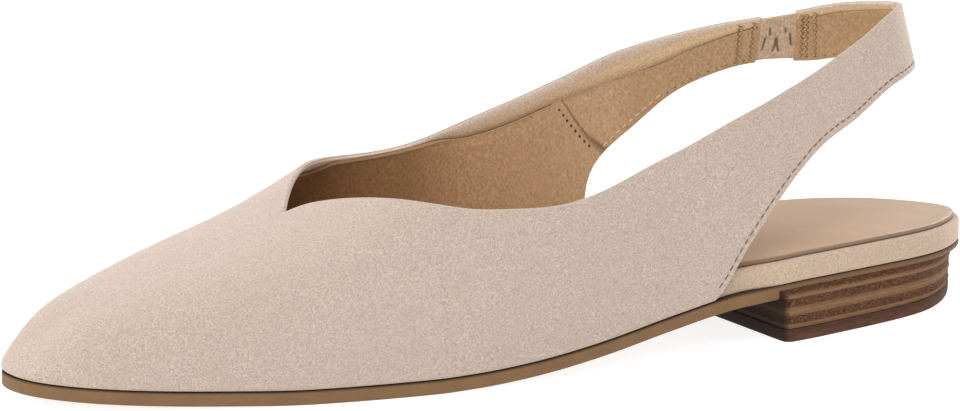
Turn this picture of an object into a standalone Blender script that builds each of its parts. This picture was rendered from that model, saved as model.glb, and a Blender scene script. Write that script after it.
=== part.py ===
"""Slingback pump, left shoe: a pointed suede upper with a sling strap, a thin rubber outsole and a low stacked heel.

The toe points along +X, the outer side of the foot lies at +Y and +Z is up. The origin is the middle of the
heel's tread, on the floor. All sections are worked out from the sizes below, in metres.
"""

import bpy
import numpy as np

MM = 0.001

# Sizes of the whole shoe
LENGTH = 262 * MM
BALL_WIDTH = 75 * MM
INSTEP_RISE = 37 * MM
TOE_SPRING = 2.8 * MM

# Outsole
OUTSOLE_THICKNESS = 3.6 * MM
OUTSOLE_EDGE_ROUND = 0.5 * MM
SEAT_LAYER = 1.6 * MM
SEAT_STEP_RUN = 0.2 * MM

# Heel
HEEL_LIFT = 12.3 * MM
HEEL_LENGTH = 72 * MM
HEEL_INSET = 0.9 * MM
HEEL_TAPER = 0.5 * MM
HEEL_BACK_INSET = 1.2 * MM
HEEL_CORNER = 2.5 * MM
HEEL_MIDDLE = 0.15
HEEL_BACK_RUN = 0.08
TOP_PIECE_THICKNESS = 3.4 * MM
BREAST_TURN = 0.10
BREAST_FLARE = 2.4 * MM
BREAST_FLARE_LEVEL = 0.78
LIFT_CUT = 0.25 * MM
TOP_PIECE_ROUND = 0.4 * MM

# Insole board and sock
RAND_HEIGHT = 5.7 * MM
BOARD_THICKNESS = 2.0 * MM
SOCK_THICKNESS = 1.0 * MM
SOCK_MARGIN = 1.4 * MM
SOCK_DOME = 0.6 * MM
SOCK_EDGE = 0.55
BOARD_ROUND = 0.6 * MM
TOE_MARGIN = 5 * MM
TOE_MARGIN_START = 0.86
SEAT_END = 0.26
SEAT_BLEND = 0.05
SEAT_MIDDLE = 0.12
TOE_MIDDLE = 0.82

# Upper
WALL = 1.5 * MM
OVERHANG = 0.4 * MM
LOOP_LEAN = 0.28
LOOP_OFFSET = -2 * MM
LOOP_WIDTH = 67 * MM
LOOP_LEAN_POWER = 6
LOOP_OFFSET_RUN = 0.4
LOOP_END = 0.24
LOOP_BLEND = 0.2
LOOP_CLIMB = 0.3
TOE_BOW_RUN = 0.1
GORE_START = 29 * MM
GORE_LENGTH = 11.3 * MM
GORE_THICKNESS = 1.0 * MM
GORE_MARGIN = 0.9 * MM

# Gap between two pieces that touch
CLEARANCE = 0.3 * MM

# Mesh density
SOLE_STATIONS = 44
UPPER_ROWS = 9
BACK_COLUMNS = 44
SIDE_COLUMNS = 20
VAMP_COLUMNS = 22
HEEL_SIDE_POINTS = 17
HEEL_CORNER_POINTS = 4
GORE_COLUMNS = 8
GORE_ROWS = 6
FINE_STEPS = 400
ANGLE_STEP = 1e-3
WELD = 0.001 * MM
SHARP_ANGLE = 35
UPPER_SHARP_ANGLE = 50


def table(names, *rows):
    """The rows as one array for each named column."""
    return dict(zip(names.split(), np.array(rows, float).T))


# Outline of the sole, seen from below. share: along the length from the heel. centre, half: of the ball width.
OUTLINE = table(
    "share centre half",
    (0.000, 0.000, 0.000),
    (0.020, 0.011, 0.127),
    (0.060, 0.025, 0.232),
    (0.120, 0.036, 0.309),
    (0.190, 0.059, 0.349),
    (0.270, 0.085, 0.372),
    (0.360, 0.080, 0.376),
    (0.460, 0.092, 0.405),
    (0.560, 0.080, 0.448),
    (0.650, 0.023, 0.489),
    (0.720, -0.013, 0.491),
    (0.790, -0.029, 0.453),
    (0.860, -0.033, 0.387),
    (0.920, -0.031, 0.304),
    (0.965, -0.025, 0.200),
    (0.990, -0.032, 0.109),
    (1.000, -0.043, 0.000),
)

# Lower face of the sole. lift: share of the heel lift. spring: share of the toe spring.
PROFILE = table(
    "share lift spring",
    (0.00, 0.86, 0.00),
    (0.08, 0.95, 0.00),
    (0.15, 0.99, 0.00),
    (0.23, 1.00, 0.00),
    (0.30, 0.91, 0.00),
    (0.38, 0.61, 0.00),
    (0.46, 0.32, 0.00),
    (0.54, 0.12, 0.00),
    (0.60, 0.03, 0.00),
    (0.64, 0.00, 0.00),
    (0.75, 0.00, 0.00),
    (0.84, 0.00, 0.28),
    (0.92, 0.00, 0.61),
    (1.00, 0.00, 1.00),
)

# Thickness of the insole board: 1 is the rand round the seat, 0 the board under the forefoot.
BOARD = table(
    "share rand",
    (0.00, 1.0),
    (0.34, 1.0),
    (0.48, 0.2),
    (0.60, 0.0),
    (1.00, 0.0),
)

# Ridge of the last, from the heel to the toe. top: where the rib from this station meets the ridge.
# across: of the ball width. rise: above the sole, of the instep rise. full_out, full_in: how square the section is
# on each side. bow_out, bow_in: how far the outer and the inner wall belly out, of the ball width.
RIDGE = table(
    "share top across rise full_out full_in bow_out bow_in",
    (0.00, 0.000, 0.00, 2.40, 0.20, 0.20, 0.020, 0.020),
    (0.33, 0.330, 0.00, 2.30, 0.20, 0.20, 0.020, 0.100),
    (0.42, 0.420, 0.00, 2.10, 0.20, 0.20, 0.025, 0.090),
    (0.50, 0.500, 0.01, 1.83, 0.20, 0.22, 0.030, 0.070),
    (0.58, 0.580, 0.01, 1.52, 0.20, 0.26, 0.033, 0.055),
    (0.65, 0.650, 0.00, 1.22, 0.21, 0.27, 0.033, 0.045),
    (0.72, 0.722, 0.00, 0.945, 0.22, 0.24, 0.033, 0.040),
    (0.79, 0.790, -0.02, 0.760, 0.23, 0.24, 0.032, 0.036),
    (0.86, 0.855, -0.03, 0.590, 0.22, 0.25, 0.028, 0.032),
    (0.92, 0.905, -0.03, 0.456, 0.20, 0.25, 0.020, 0.024),
    (0.97, 0.935, -0.03, 0.355, 0.25, 0.25, 0.008, 0.010),
    (1.00, 0.945, -0.03, 0.305, 0.29, 0.29, 0.000, 0.000),
)

# Edge of the stacked heel, from the top piece up. level: share of its height. cut: 1 in a sunk band, 0 on a ridge.
STACK = table(
    "level cut",
    (0.00, 1.0),
    (0.04, 1.0),
    (0.07, 0.0),
    (0.12, 0.0),
    (0.15, 1.0),
    (0.37, 1.0),
    (0.40, 0.0),
    (0.45, 0.0),
    (0.48, 1.0),
    (0.72, 1.0),
    (0.75, 0.0),
    (0.80, 0.0),
    (0.83, 1.0),
    (1.00, 1.0),
)

# Upper face of the sock. inward: share of the way from its edge to the middle. rise: of the dome.
SOCK_FORM = table(
    "inward rise",
    (0.04, 0.00),
    (0.20, 0.40),
    (0.50, 0.85),
    (0.80, 1.00),
)

# Plan of the strap's loop round the heel. share: along the length from its bend. half: of the loop's width.
LOOP = table(
    "share half",
    (0.00, 0.00),
    (0.02, 0.10),
    (0.05, 0.17),
    (0.11, 0.24),
    (0.17, 0.32),
    (0.24, 0.41),
    (0.33, 0.48),
    (0.45, 0.51),
)

# Edges of the upper on each side, from the bend of the strap to the tip of the throat. low, top: shares of the
# length. low_climb, top_climb: shares of the way from the sole up to the ridge. A low_climb of 0 is on the sole.
OUTER_EDGES = table(
    "low low_climb top top_climb",
    (0.000, 0.290, 0.000, 0.425),
    (0.040, 0.280, 0.040, 0.420),
    (0.090, 0.255, 0.095, 0.380),
    (0.140, 0.222, 0.150, 0.345),
    (0.190, 0.198, 0.205, 0.318),
    (0.235, 0.160, 0.260, 0.298),
    (0.275, 0.112, 0.310, 0.288),
    (0.310, 0.052, 0.360, 0.281),
    (0.338, 0.000, 0.410, 0.283),
    (0.400, 0.000, 0.460, 0.291),
    (0.460, 0.000, 0.510, 0.321),
    (0.525, 0.000, 0.560, 0.388),
    (0.590, 0.000, 0.610, 0.502),
    (0.645, 0.000, 0.660, 0.726),
    (0.690, 0.000, 0.697, 0.930),
    (0.7060, 0.000, 0.7160, 0.984),
    (0.7212, 0.000, 0.7212, 1.000),
)
INNER_EDGES = table(
    "low low_climb top top_climb",
    (0.000, 0.290, 0.000, 0.425),
    (0.050, 0.286, 0.040, 0.405),
    (0.100, 0.275, 0.090, 0.385),
    (0.155, 0.272, 0.145, 0.364),
    (0.205, 0.255, 0.200, 0.349),
    (0.255, 0.223, 0.250, 0.335),
    (0.305, 0.181, 0.300, 0.331),
    (0.355, 0.130, 0.350, 0.336),
    (0.372, 0.000, 0.400, 0.348),
    (0.410, 0.000, 0.450, 0.365),
    (0.465, 0.000, 0.500, 0.380),
    (0.525, 0.000, 0.550, 0.397),
    (0.590, 0.000, 0.600, 0.461),
    (0.645, 0.000, 0.648, 0.611),
    (0.690, 0.000, 0.694, 0.845),
    (0.7060, 0.000, 0.7155, 0.972),
    (0.7212, 0.000, 0.7212, 1.000),
)
CORNER_ROW = 8


def spline(x, xs, ys):
    """A natural cubic spline through the points (xs, ys), read at x."""
    xs = np.asarray(xs, float)
    ys = np.asarray(ys, float)
    gap = np.diff(xs)
    slope = np.diff(ys) / gap
    count = len(xs)
    system = np.eye(count)
    target = np.zeros(count)
    for i in range(1, count - 1):
        system[i, i - 1:i + 2] = gap[i - 1], 2 * (gap[i - 1] + gap[i]), gap[i]
        target[i] = 6 * (slope[i] - slope[i - 1])
    bend = np.linalg.solve(system, target)
    x = np.clip(np.asarray(x, float), xs[0], xs[-1])
    k = np.clip(np.searchsorted(xs, x) - 1, 0, count - 2)
    a = (xs[k + 1] - x) / gap[k]
    b = 1 - a
    curve = (a**3 - a) * bend[k] + (b**3 - b) * bend[k + 1]
    return a * ys[k] + b * ys[k + 1] + curve * gap[k] ** 2 / 6


def steady(x, xs, ys):
    """A smooth curve through the points (xs, ys), read at x, that stays flat where the points are level."""
    xs = np.asarray(xs, float)
    ys = np.asarray(ys, float)
    gap = np.diff(xs)
    slope = np.diff(ys) / gap
    lean = np.zeros(len(xs))
    for i in range(1, len(xs) - 1):
        if slope[i - 1] * slope[i] > 0:
            weight = gap[i - 1] + 2 * gap[i], 2 * gap[i - 1] + gap[i]
            lean[i] = sum(weight) / (weight[0] / slope[i - 1] + weight[1] / slope[i])
    lean[0] = slope[0]
    lean[-1] = slope[-1]
    x = np.clip(np.asarray(x, float), xs[0], xs[-1])
    k = np.clip(np.searchsorted(xs, x) - 1, 0, len(xs) - 2)
    b = (x - xs[k]) / gap[k]
    ends = (1 + 2 * b) * (1 - b) ** 2 * ys[k] + b**2 * (3 - 2 * b) * ys[k + 1]
    return ends + gap[k] * b * (1 - b) * ((1 - b) * lean[k] - b * lean[k + 1])


def turn(share):
    """The share of a length as an angle, so that both ends of an outline come out round."""
    return np.arccos(1 - 2 * np.clip(share, 0, 1))


def ease(x):
    """0 up to x = 0, 1 from x = 1 on, smooth between."""
    x = np.clip(x, 0, 1)
    return x * x * (3 - 2 * x)


def sole_edge(share, side):
    """Sideways position of the sole's edge. side is 1 on the outer side and -1 on the inner side."""
    angle = turn(share)
    knots = turn(OUTLINE["share"])
    centre = spline(angle, knots, OUTLINE["centre"])
    half = spline(angle, knots, OUTLINE["half"])
    return BALL_WIDTH * (centre + side * half)


def sole_bottom(share):
    """Height of the outsole's lower face above the floor."""
    lift = steady(share, PROFILE["share"], PROFILE["lift"])
    spring = steady(share, PROFILE["share"], PROFILE["spring"])
    return HEEL_LIFT * lift + TOE_SPRING * spring


def bed(share):
    """Height of the outsole's upper face above the floor."""
    return sole_bottom(share) + OUTSOLE_THICKNESS


def edge_place(angle):
    """A point of the sole's outline. The angle runs from 0 at the back to pi at the toe, below zero inside."""
    side = np.where(np.sin(angle) >= 0, 1, -1)
    share = (1 - np.cos(angle)) / 2
    return np.stack([LENGTH * share, sole_edge(share, side)], -1)


def edge_outward(angle):
    """The direction straight out of the sole's outline, in plan."""
    along = edge_place(angle + ANGLE_STEP) - edge_place(angle - ANGLE_STEP)
    along /= np.linalg.norm(along, axis=-1)[..., None]
    return np.stack([-along[..., 1], along[..., 0]], -1)


def ahead_of_breast(plan):
    """How far plan points lie ahead of the line where the heel's breast meets the outsole."""
    reach = HEEL_LENGTH + BREAST_FLARE - HEEL_INSET + CLEARANCE
    return plan[..., 0] + BREAST_TURN * plan[..., 1] - reach


def breast_angle(side):
    angles = np.linspace(0, np.pi / 2, FINE_STEPS)
    return float(np.interp(0, ahead_of_breast(edge_place(side * angles)), angles))


def edge_loop(inset, stations=SOLE_STATIONS, with_breast=False):
    """The sole's outline moved inwards: from the back along the outer side to the toe and back along the inner side."""
    outer = np.linspace(0, np.pi, stations + 1)
    inner = outer.copy()
    if with_breast:
        near = int(np.searchsorted(outer, breast_angle(1)))
        half = SEAT_STEP_RUN / LENGTH
        outer[near - 1:near + 1] = breast_angle(1) - half, breast_angle(1) + half
        inner[near - 1:near + 1] = breast_angle(-1) - half, breast_angle(-1) + half
    around = np.concatenate([outer, -inner[-2:0:-1]])
    points = edge_place(around)
    if callable(inset):
        inset = inset(points[:, 0] / LENGTH)[:, None]
    return points - edge_outward(around) * inset


def ridge_value(name, share):
    return spline(share, RIDGE["share"], RIDGE[name])


def ridge_height(place):
    """Height of the ridge above the floor. place: along it, as a share of the length."""
    return bed(place) + INSTEP_RISE * spline(place, RIDGE["top"], RIDGE["rise"])


def skin(share, climb, side):
    """A point on the last, where the upper's inner face lies. climb is 0 at the sole and 1 on the ridge."""
    share, climb, side = np.broadcast_arrays(share, climb, side)
    angle = climb * np.pi / 2
    full = np.where(side > 0, ridge_value("full_out", share), ridge_value("full_in", share))
    cross = np.cos(angle) * (1 + full * np.sin(angle) ** 2)
    up = np.sin(angle) * (1 + full * np.cos(angle) ** 2)
    plan_angle = turn(share) * side
    foot = edge_place(plan_angle) - edge_outward(plan_angle) * (WALL - OVERHANG)
    foot_x = foot[..., 0]
    foot_y = foot[..., 1]
    foot_z = bed(share) + CLEARANCE
    top = ridge_value("top", share)
    top_y = BALL_WIDTH * ridge_value("across", share)
    top_z = ridge_height(top)
    # Ribs that reach forward from the ridge leave it at the ridge's own slope.
    slope = (ridge_height(top - ANGLE_STEP) - top_z) / (ANGLE_STEP * LENGTH)
    fall = slope * (foot_x - LENGTH * top)
    bow = np.where(side > 0, ridge_value("bow_out", share), ridge_value("bow_in", share))
    bow = BALL_WIDTH * bow * np.sin(2 * angle)
    x = LENGTH * top + (foot_x - LENGTH * top) * cross
    y = top_y + (foot_y - top_y) * cross + side * bow * np.sin(turn(share)) ** 0.5
    z = foot_z + fall * (1 - cross) + (top_z - foot_z - fall) * up
    x = x + bow * ease(1 - (1 - share) / TOE_BOW_RUN)
    # The strap stands in its own loop, narrower than the seat below it.
    loop_share = np.clip(share, 0, LOOP["share"][-1])
    half = spline(turn(loop_share), turn(LOOP["share"]), LOOP["half"])
    loop_y = LOOP_OFFSET * (1 - ease(share / LOOP_OFFSET_RUN)) + side * LOOP_WIDTH * half
    in_loop = (1 - ease((share - LOOP_END) / LOOP_BLEND)) * ease(climb / LOOP_CLIMB)
    y = y + in_loop * (loop_y - y)
    x = x + LOOP_LEAN * (z - foot_z) * (1 - share) ** LOOP_LEAN_POWER
    return np.stack([x, y, z], -1)


def both_sides(name, signed=False):
    """One column of the edge tables from the throat along the inner side, round the heel and to the throat again."""
    inner = INNER_EDGES[name][:0:-1]
    outer = OUTER_EDGES[name]
    if signed:
        return np.concatenate([-turn(inner), turn(outer)])
    return np.concatenate([inner, outer])


THROAT_ROW = len(OUTER_EDGES["low"]) - 1


def edges_at(row):
    """Both edges of the upper at a row, negative on the inner side: two signed angles and two climbs."""
    rows = np.arange(-THROAT_ROW, THROAT_ROW + 1)
    low = spline(row, rows, both_sides("low", signed=True))
    top = spline(row, rows, both_sides("top", signed=True))
    top_climb = spline(row, rows, both_sides("top_climb"))
    free = np.abs(rows) <= CORNER_ROW
    low_climb = spline(row, rows[free], both_sides("low_climb")[free])
    low_climb = np.where(np.abs(row) < CORNER_ROW, np.maximum(low_climb, 0), 0)
    return low, low_climb, top, np.minimum(top_climb, 1)


def row_at_reach(reach):
    """The row on the inner side whose top edge lies this far forward of the strap's bend."""
    rows = np.linspace(-CORNER_ROW, 0, FINE_STEPS)
    forward = (1 - np.cos(edges_at(rows)[2])) / 2 * LENGTH
    return float(np.interp(-reach, -forward, rows))


def band(start, end, columns, rows=UPPER_ROWS, trim=0):
    """Points on the last from one row of the edge tables to another, a column for each rib."""
    row = np.linspace(start, end, columns + 1)
    low, low_climb, top, top_climb = edges_at(row)
    step = np.linspace(trim, 1 - trim, rows + 1)[None, :]
    angle = low[:, None] + (top - low)[:, None] * step
    climb = low_climb[:, None] + (top_climb - low_climb)[:, None] * step
    side = np.where(angle < 0, -1, 1)
    return skin((1 - np.cos(angle)) / 2, climb, side)


def vamp(side, columns=VAMP_COLUMNS, rows=UPPER_ROWS):
    """Points on the last from the throat to the toe tip, a column for each rib."""
    start = turn(OUTER_EDGES["low"][-1])
    angle = np.linspace(start, np.pi, columns + 1)[:, None]
    climb = np.linspace(0, 1, rows + 1)[None, :]
    return skin((1 - np.cos(angle)) / 2, climb, side)


def grid_faces(columns, rows, first=0, flip=False):
    """Quads of a grid of points stored column by column."""
    faces = []
    for i in range(columns - 1):
        for j in range(rows - 1):
            a = first + i * rows + j
            quad = [a, a + rows, a + rows + 1, a + 1]
            faces.append(quad[::-1] if flip else quad)
    return faces


def joined(grids):
    """Grids of points as one surface. Each grid comes with a flag that turns its faces over."""
    points = []
    faces = []
    for grid, flip in grids:
        faces += grid_faces(grid.shape[0], grid.shape[1], sum(len(p) for p in points), flip)
        points.append(grid.reshape(-1, 3))
    points = np.concatenate(points)
    keys, first, index = np.unique(
        np.round(points / WELD).astype(int), axis=0, return_index=True, return_inverse=True
    )
    index = index.reshape(-1)
    faces = [[int(index[i]) for i in face] for face in faces]
    faces = [list(dict.fromkeys(face)) for face in faces]
    return points[first], [face for face in faces if len(face) > 2]


def surface_normals(points, faces):
    """Unit normals at the points of a surface."""
    total = np.zeros_like(points)
    for face in faces:
        corners = points[face]
        across = np.zeros(3)
        for i in range(1, len(face) - 1):
            across += np.cross(corners[i] - corners[0], corners[i + 1] - corners[0])
        for i in face:
            total[i] += across
    return total / np.linalg.norm(total, axis=1)[:, None]


def thickened(points, faces, wall):
    """A closed wall from its open inner surface, with a rim along each edge."""
    outer = points + surface_normals(points, faces) * wall
    count = len(points)
    used = {}
    for face in faces:
        for a, b in zip(face, face[1:] + face[:1]):
            used[(a, b)] = True
    rim = [[b, a, a + count, b + count] for a, b in used if (b, a) not in used]
    back = [[i + count for i in face[::-1]] for face in faces]
    return np.concatenate([outer, points]), faces + back + rim


def gore_rows():
    return row_at_reach(GORE_START), row_at_reach(GORE_START + GORE_LENGTH)


def upper_surface(back=BACK_COLUMNS, side=SIDE_COLUMNS, front=VAMP_COLUMNS, rows=UPPER_ROWS):
    """The inner face of the upper: both strap ends, both quarters and the vamp. Its faces point out of the shoe."""
    strap_end, inner_end = gore_rows()
    short = round(back * (CORNER_ROW + inner_end) / (CORNER_ROW - strap_end))
    grids = [
        (band(strap_end, CORNER_ROW, back, rows), True),
        (band(CORNER_ROW, THROAT_ROW, side, rows), True),
        (vamp(1, front, rows), True),
        (band(inner_end, -CORNER_ROW, short, rows), False),
        (band(-CORNER_ROW, -THROAT_ROW, side, rows), False),
        (vamp(-1, front, rows), False),
    ]
    return joined(grids)


def ring_solid(rings, stations):
    """A closed solid through rings of the sole's own form, from the lowest ring to the highest."""
    count = len(rings[0])
    faces = []
    for k in range(len(rings) - 1):
        for i in range(count):
            a = k * count + i
            b = k * count + (i + 1) % count
            faces.append([a, a + count, b + count, b])
    top = (len(rings) - 1) * count
    for i in range(stations):
        outer = i, i + 1
        inner = (count - i) % count, count - i - 1
        cap = [outer[0], outer[1], inner[1], inner[0]]
        cap = list(dict.fromkeys(cap))
        faces.append(cap)
        faces.append([top + j for j in cap[::-1]])
    return np.concatenate(rings), faces


def ring_at(plan, height):
    """Plan points with a height for each: height is a function of the share of the length, or a number."""
    z = height(plan[:, 0] / LENGTH) if callable(height) else np.full(len(plan), height)
    return np.column_stack([plan, z])


def new_mesh(name, points, faces, material, sharp_angle=SHARP_ANGLE):
    """One named object from points in the shoe's own frame, moved so that the origin is under the heel."""
    tread_middle = (HEEL_INSET + HEEL_TAPER + HEEL_BACK_INSET + HEEL_LENGTH) / 2
    mesh = bpy.data.meshes.new(name)
    placed = np.asarray(points, float) - (tread_middle, 0, 0)
    mesh.from_pydata(placed.tolist(), [], [[int(i) for i in face] for face in faces])
    mesh.validate()
    mesh.materials.append(material)
    mesh.shade_smooth()
    mesh.set_sharp_from_angle(angle=np.radians(sharp_angle))
    obj = bpy.data.objects.new(name, mesh)
    bpy.context.scene.collection.objects.link(obj)
    return obj


def board_inset(share):
    """How far the insole board stays inside the sole's edge: flush round the seat, inside the wall further on."""
    inside = WALL - OVERHANG + CLEARANCE
    at_toe = TOE_MARGIN * ease((share - TOE_MARGIN_START) / (1 - TOE_MARGIN_START))
    return inside * ease((share - SEAT_END) / SEAT_BLEND) + at_toe


def board_top(share):
    rand = steady(share, BOARD["share"], BOARD["rand"])
    return bed(share) + CLEARANCE + BOARD_THICKNESS + (RAND_HEIGHT - BOARD_THICKNESS) * rand


def towards_middle(plan, amount):
    """A plan outline drawn in towards the line down the middle of the sole."""
    x = np.clip(plan[:, 0], SEAT_MIDDLE * LENGTH, TOE_MIDDLE * LENGTH)
    centre = BALL_WIDTH * spline(turn(x / LENGTH), turn(OUTLINE["share"]), OUTLINE["centre"])
    middle = np.column_stack([x, centre])
    return plan + (middle - plan) * amount


def sole_ring(inset, up):
    """A ring of the outsole: up is the share of the way from its lower face, which is higher over the heel."""
    plan = edge_loop(inset, with_breast=True)
    share = plan[:, 0] / LENGTH
    low = np.where(ahead_of_breast(plan) < 0, bed(share) - SEAT_LAYER, sole_bottom(share))
    return np.column_stack([plan, low + (bed(share) - low) * up])


def make_outsole(material):
    edge = OUTSOLE_EDGE_ROUND
    round_share = edge / OUTSOLE_THICKNESS
    rings = [
        sole_ring(edge, 0),
        sole_ring(0, round_share),
        sole_ring(0, 1 - round_share / 2),
        sole_ring(edge / 2, 1),
    ]
    points, faces = ring_solid(rings, SOLE_STATIONS)
    return new_mesh("outsole", points, faces, material)


def make_insole_board(material):
    rings = [
        ring_at(edge_loop(board_inset), lambda share: bed(share) + CLEARANCE),
        ring_at(edge_loop(board_inset), lambda share: board_top(share) - BOARD_ROUND),
        ring_at(edge_loop(lambda share: board_inset(share) + BOARD_ROUND), board_top),
    ]
    points, faces = ring_solid(rings, SOLE_STATIONS)
    return new_mesh("insole_board", points, faces, material)


def make_sock(material):
    def height(amount):
        return lambda share: board_top(share) + CLEARANCE + amount

    plan = edge_loop(lambda share: board_inset(share) + SOCK_MARGIN)
    rings = [ring_at(plan, height(0)), ring_at(plan, height(SOCK_THICKNESS * SOCK_EDGE))]
    for inward, rise in zip(SOCK_FORM["inward"], SOCK_FORM["rise"]):
        rings.append(ring_at(towards_middle(plan, inward), height(SOCK_THICKNESS + SOCK_DOME * rise)))
    points, faces = ring_solid(rings, SOLE_STATIONS)
    return new_mesh("insole", points, faces, material)


def heel_plan(inset, flare=0):
    """The heel's outline at one level: round the seat, then across the breast, with its two front corners rounded.

    flare: how far the breast stands forward here.
    """
    shares = np.linspace(0, 1, HEEL_SIDE_POINTS)
    breast = HEEL_LENGTH + flare - inset
    loop = edge_loop(lambda share: inset + HEEL_BACK_INSET * (1 - ease(share / HEEL_BACK_RUN)), FINE_STEPS)
    half = len(loop) // 2
    outer = loop[: half + 1]
    inner = np.concatenate([loop[:1], loop[:half:-1]])

    def side_points(line):
        ahead = line[:, 0] + BREAST_TURN * line[:, 1] - breast
        last = int(np.argmax(ahead > 0))
        line = line[: last + 1]
        run = np.concatenate([[0], np.cumsum(np.linalg.norm(np.diff(line, axis=0), axis=1))])
        share = ahead[last - 1] / (ahead[last - 1] - ahead[last])
        end = run[last - 1] + share * (run[last] - run[last - 1])
        stop = end - HEEL_CORNER
        at = stop * shares
        found = np.column_stack([np.interp(at, run, line[:, k]) for k in range(2)])
        corner = np.array([np.interp(end, run, line[:, k]) for k in range(2)])
        return found, corner

    out_points, out_corner = side_points(outer)
    in_points, in_corner = side_points(inner)
    across = (in_corner - out_corner) / np.linalg.norm(in_corner - out_corner)

    def corner_points(start, corner, end):
        step = np.linspace(0, 1, HEEL_CORNER_POINTS + 1)[1:, None]
        return (1 - step) ** 2 * start + 2 * step * (1 - step) * corner + step**2 * end

    front_out = corner_points(out_points[-1], out_corner, out_corner + across * HEEL_CORNER)
    front_in = corner_points(in_points[-1], in_corner, in_corner - across * HEEL_CORNER)
    return np.concatenate([out_points, front_out, front_in[::-1], in_points[:0:-1]])


def heel_inset(level):
    """The heel draws in slightly towards the floor. level is 0 at the floor and 1 under the outsole."""
    return HEEL_INSET + HEEL_TAPER * (1 - level)


def breast_flare(level):
    """The breast turns forward under the outsole. level is 0 at the top piece and 1 under the outsole."""
    return BREAST_FLARE * ease((level - BREAST_FLARE_LEVEL) / (1 - BREAST_FLARE_LEVEL))


def heel_solid(name, material, levels, bottom, top, flare=lambda level: 0):
    """Rings of the heel's outline between two faces. levels: share of the way up, and how far a groove cuts in."""
    rings = []
    for level, groove in levels:
        low = bottom(HEEL_MIDDLE)
        mean = (low + (top(HEEL_MIDDLE) - low) * level) / HEEL_LIFT
        plan = heel_plan(heel_inset(mean) + groove, flare(level))
        share = plan[:, 0] / LENGTH
        z = bottom(share) + (top(share) - bottom(share)) * level
        rings.append(np.column_stack([plan, z]))
    points, faces = ring_solid(rings, len(rings[0]) // 2)
    return new_mesh(name, points, faces, material)


def make_heel_block(material):
    def bottom(share):
        return TOP_PIECE_THICKNESS + CLEARANCE + 0 * share

    def top(share):
        return bed(share) - SEAT_LAYER - CLEARANCE

    levels = list(zip(STACK["level"], STACK["cut"] * LIFT_CUT))
    return heel_solid("heel_block", material, levels, bottom, top, breast_flare)


def make_heel_top_piece(material):
    levels = [(0, TOP_PIECE_ROUND), (TOP_PIECE_ROUND / TOP_PIECE_THICKNESS, 0), (1, 0)]
    return heel_solid(
        "heel_top_piece",
        material,
        levels,
        lambda share: 0 * share,
        lambda share: TOP_PIECE_THICKNESS + 0 * share,
    )


def make_upper(material):
    points, faces = upper_surface()
    points, faces = thickened(points, faces, WALL)
    return new_mesh("upper", points, faces, material, UPPER_SHARP_ANGLE)


def make_elastic_gore(material):
    """The short elastic between the strap's two ends, a little narrower and thinner than the strap."""
    strap_end, inner_end = gore_rows()
    gap = CLEARANCE * (strap_end - inner_end) / GORE_LENGTH
    across = band(strap_end, inner_end, 1, 1)[0]
    trim = GORE_MARGIN / np.linalg.norm(across[1] - across[0])
    grid = band(strap_end - gap, inner_end + gap, GORE_COLUMNS, GORE_ROWS, trim)
    points, faces = joined([(grid, False)])
    points = points + surface_normals(points, faces) * (WALL - GORE_THICKNESS) / 2
    points, faces = thickened(points, faces, GORE_THICKNESS)
    return new_mesh("elastic_gore", points, faces, material)


def new_material(name, colour, roughness):
    material = bpy.data.materials.new(name)
    material.use_nodes = True
    shader = material.node_tree.nodes["Principled BSDF"]
    shader.inputs["Base Color"].default_value = (*colour, 1)
    shader.inputs["Roughness"].default_value = roughness
    shader.inputs["Metallic"].default_value = 0
    return material


def build():
    for obj in list(bpy.data.objects):
        bpy.data.objects.remove(obj)
    suede = new_material("suede", (0.68, 0.53, 0.42), 0.95)
    rubber = new_material("rubber", (0.45, 0.29, 0.17), 0.6)
    stacked = new_material("stacked_leather", (0.16, 0.08, 0.05), 0.7)
    top_piece = new_material("top_piece_rubber", (0.09, 0.04, 0.03), 0.6)
    leather = new_material("sock_leather", (0.70, 0.50, 0.36), 0.5)
    elastic = new_material("elastic", (0.62, 0.48, 0.40), 0.9)
    make_outsole(rubber)
    make_heel_block(stacked)
    make_heel_top_piece(top_piece)
    make_insole_board(suede)
    make_sock(leather)
    make_upper(suede)
    make_elastic_gore(elastic)


build()
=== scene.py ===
"""Dresses the slingback pump: suede upper, linings, stitching, stacked heel, rubber outsole and padded sock.

Sizes, tables and section functions are those of the part's source. All lengths are in metres.
"""

import bpy
import numpy as np
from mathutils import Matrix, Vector


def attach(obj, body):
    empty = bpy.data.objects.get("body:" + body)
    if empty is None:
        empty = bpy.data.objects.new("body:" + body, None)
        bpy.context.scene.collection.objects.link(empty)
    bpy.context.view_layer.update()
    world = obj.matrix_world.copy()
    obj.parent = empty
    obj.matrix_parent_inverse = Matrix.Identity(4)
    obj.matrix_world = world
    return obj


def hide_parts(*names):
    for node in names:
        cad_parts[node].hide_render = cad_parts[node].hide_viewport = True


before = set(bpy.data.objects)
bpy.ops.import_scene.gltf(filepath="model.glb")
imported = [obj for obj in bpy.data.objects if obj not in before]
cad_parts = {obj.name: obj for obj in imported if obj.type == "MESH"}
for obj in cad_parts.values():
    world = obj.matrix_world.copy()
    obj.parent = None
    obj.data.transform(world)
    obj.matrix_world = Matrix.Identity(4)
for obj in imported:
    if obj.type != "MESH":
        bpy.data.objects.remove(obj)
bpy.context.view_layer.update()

MM = 0.001

# Sizes of the whole shoe
LENGTH = 262 * MM
BALL_WIDTH = 75 * MM
INSTEP_RISE = 37 * MM
TOE_SPRING = 2.8 * MM

# Outsole
OUTSOLE_THICKNESS = 3.6 * MM
SEAT_LAYER = 1.6 * MM
SEAT_STEP_RUN = 0.2 * MM

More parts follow.
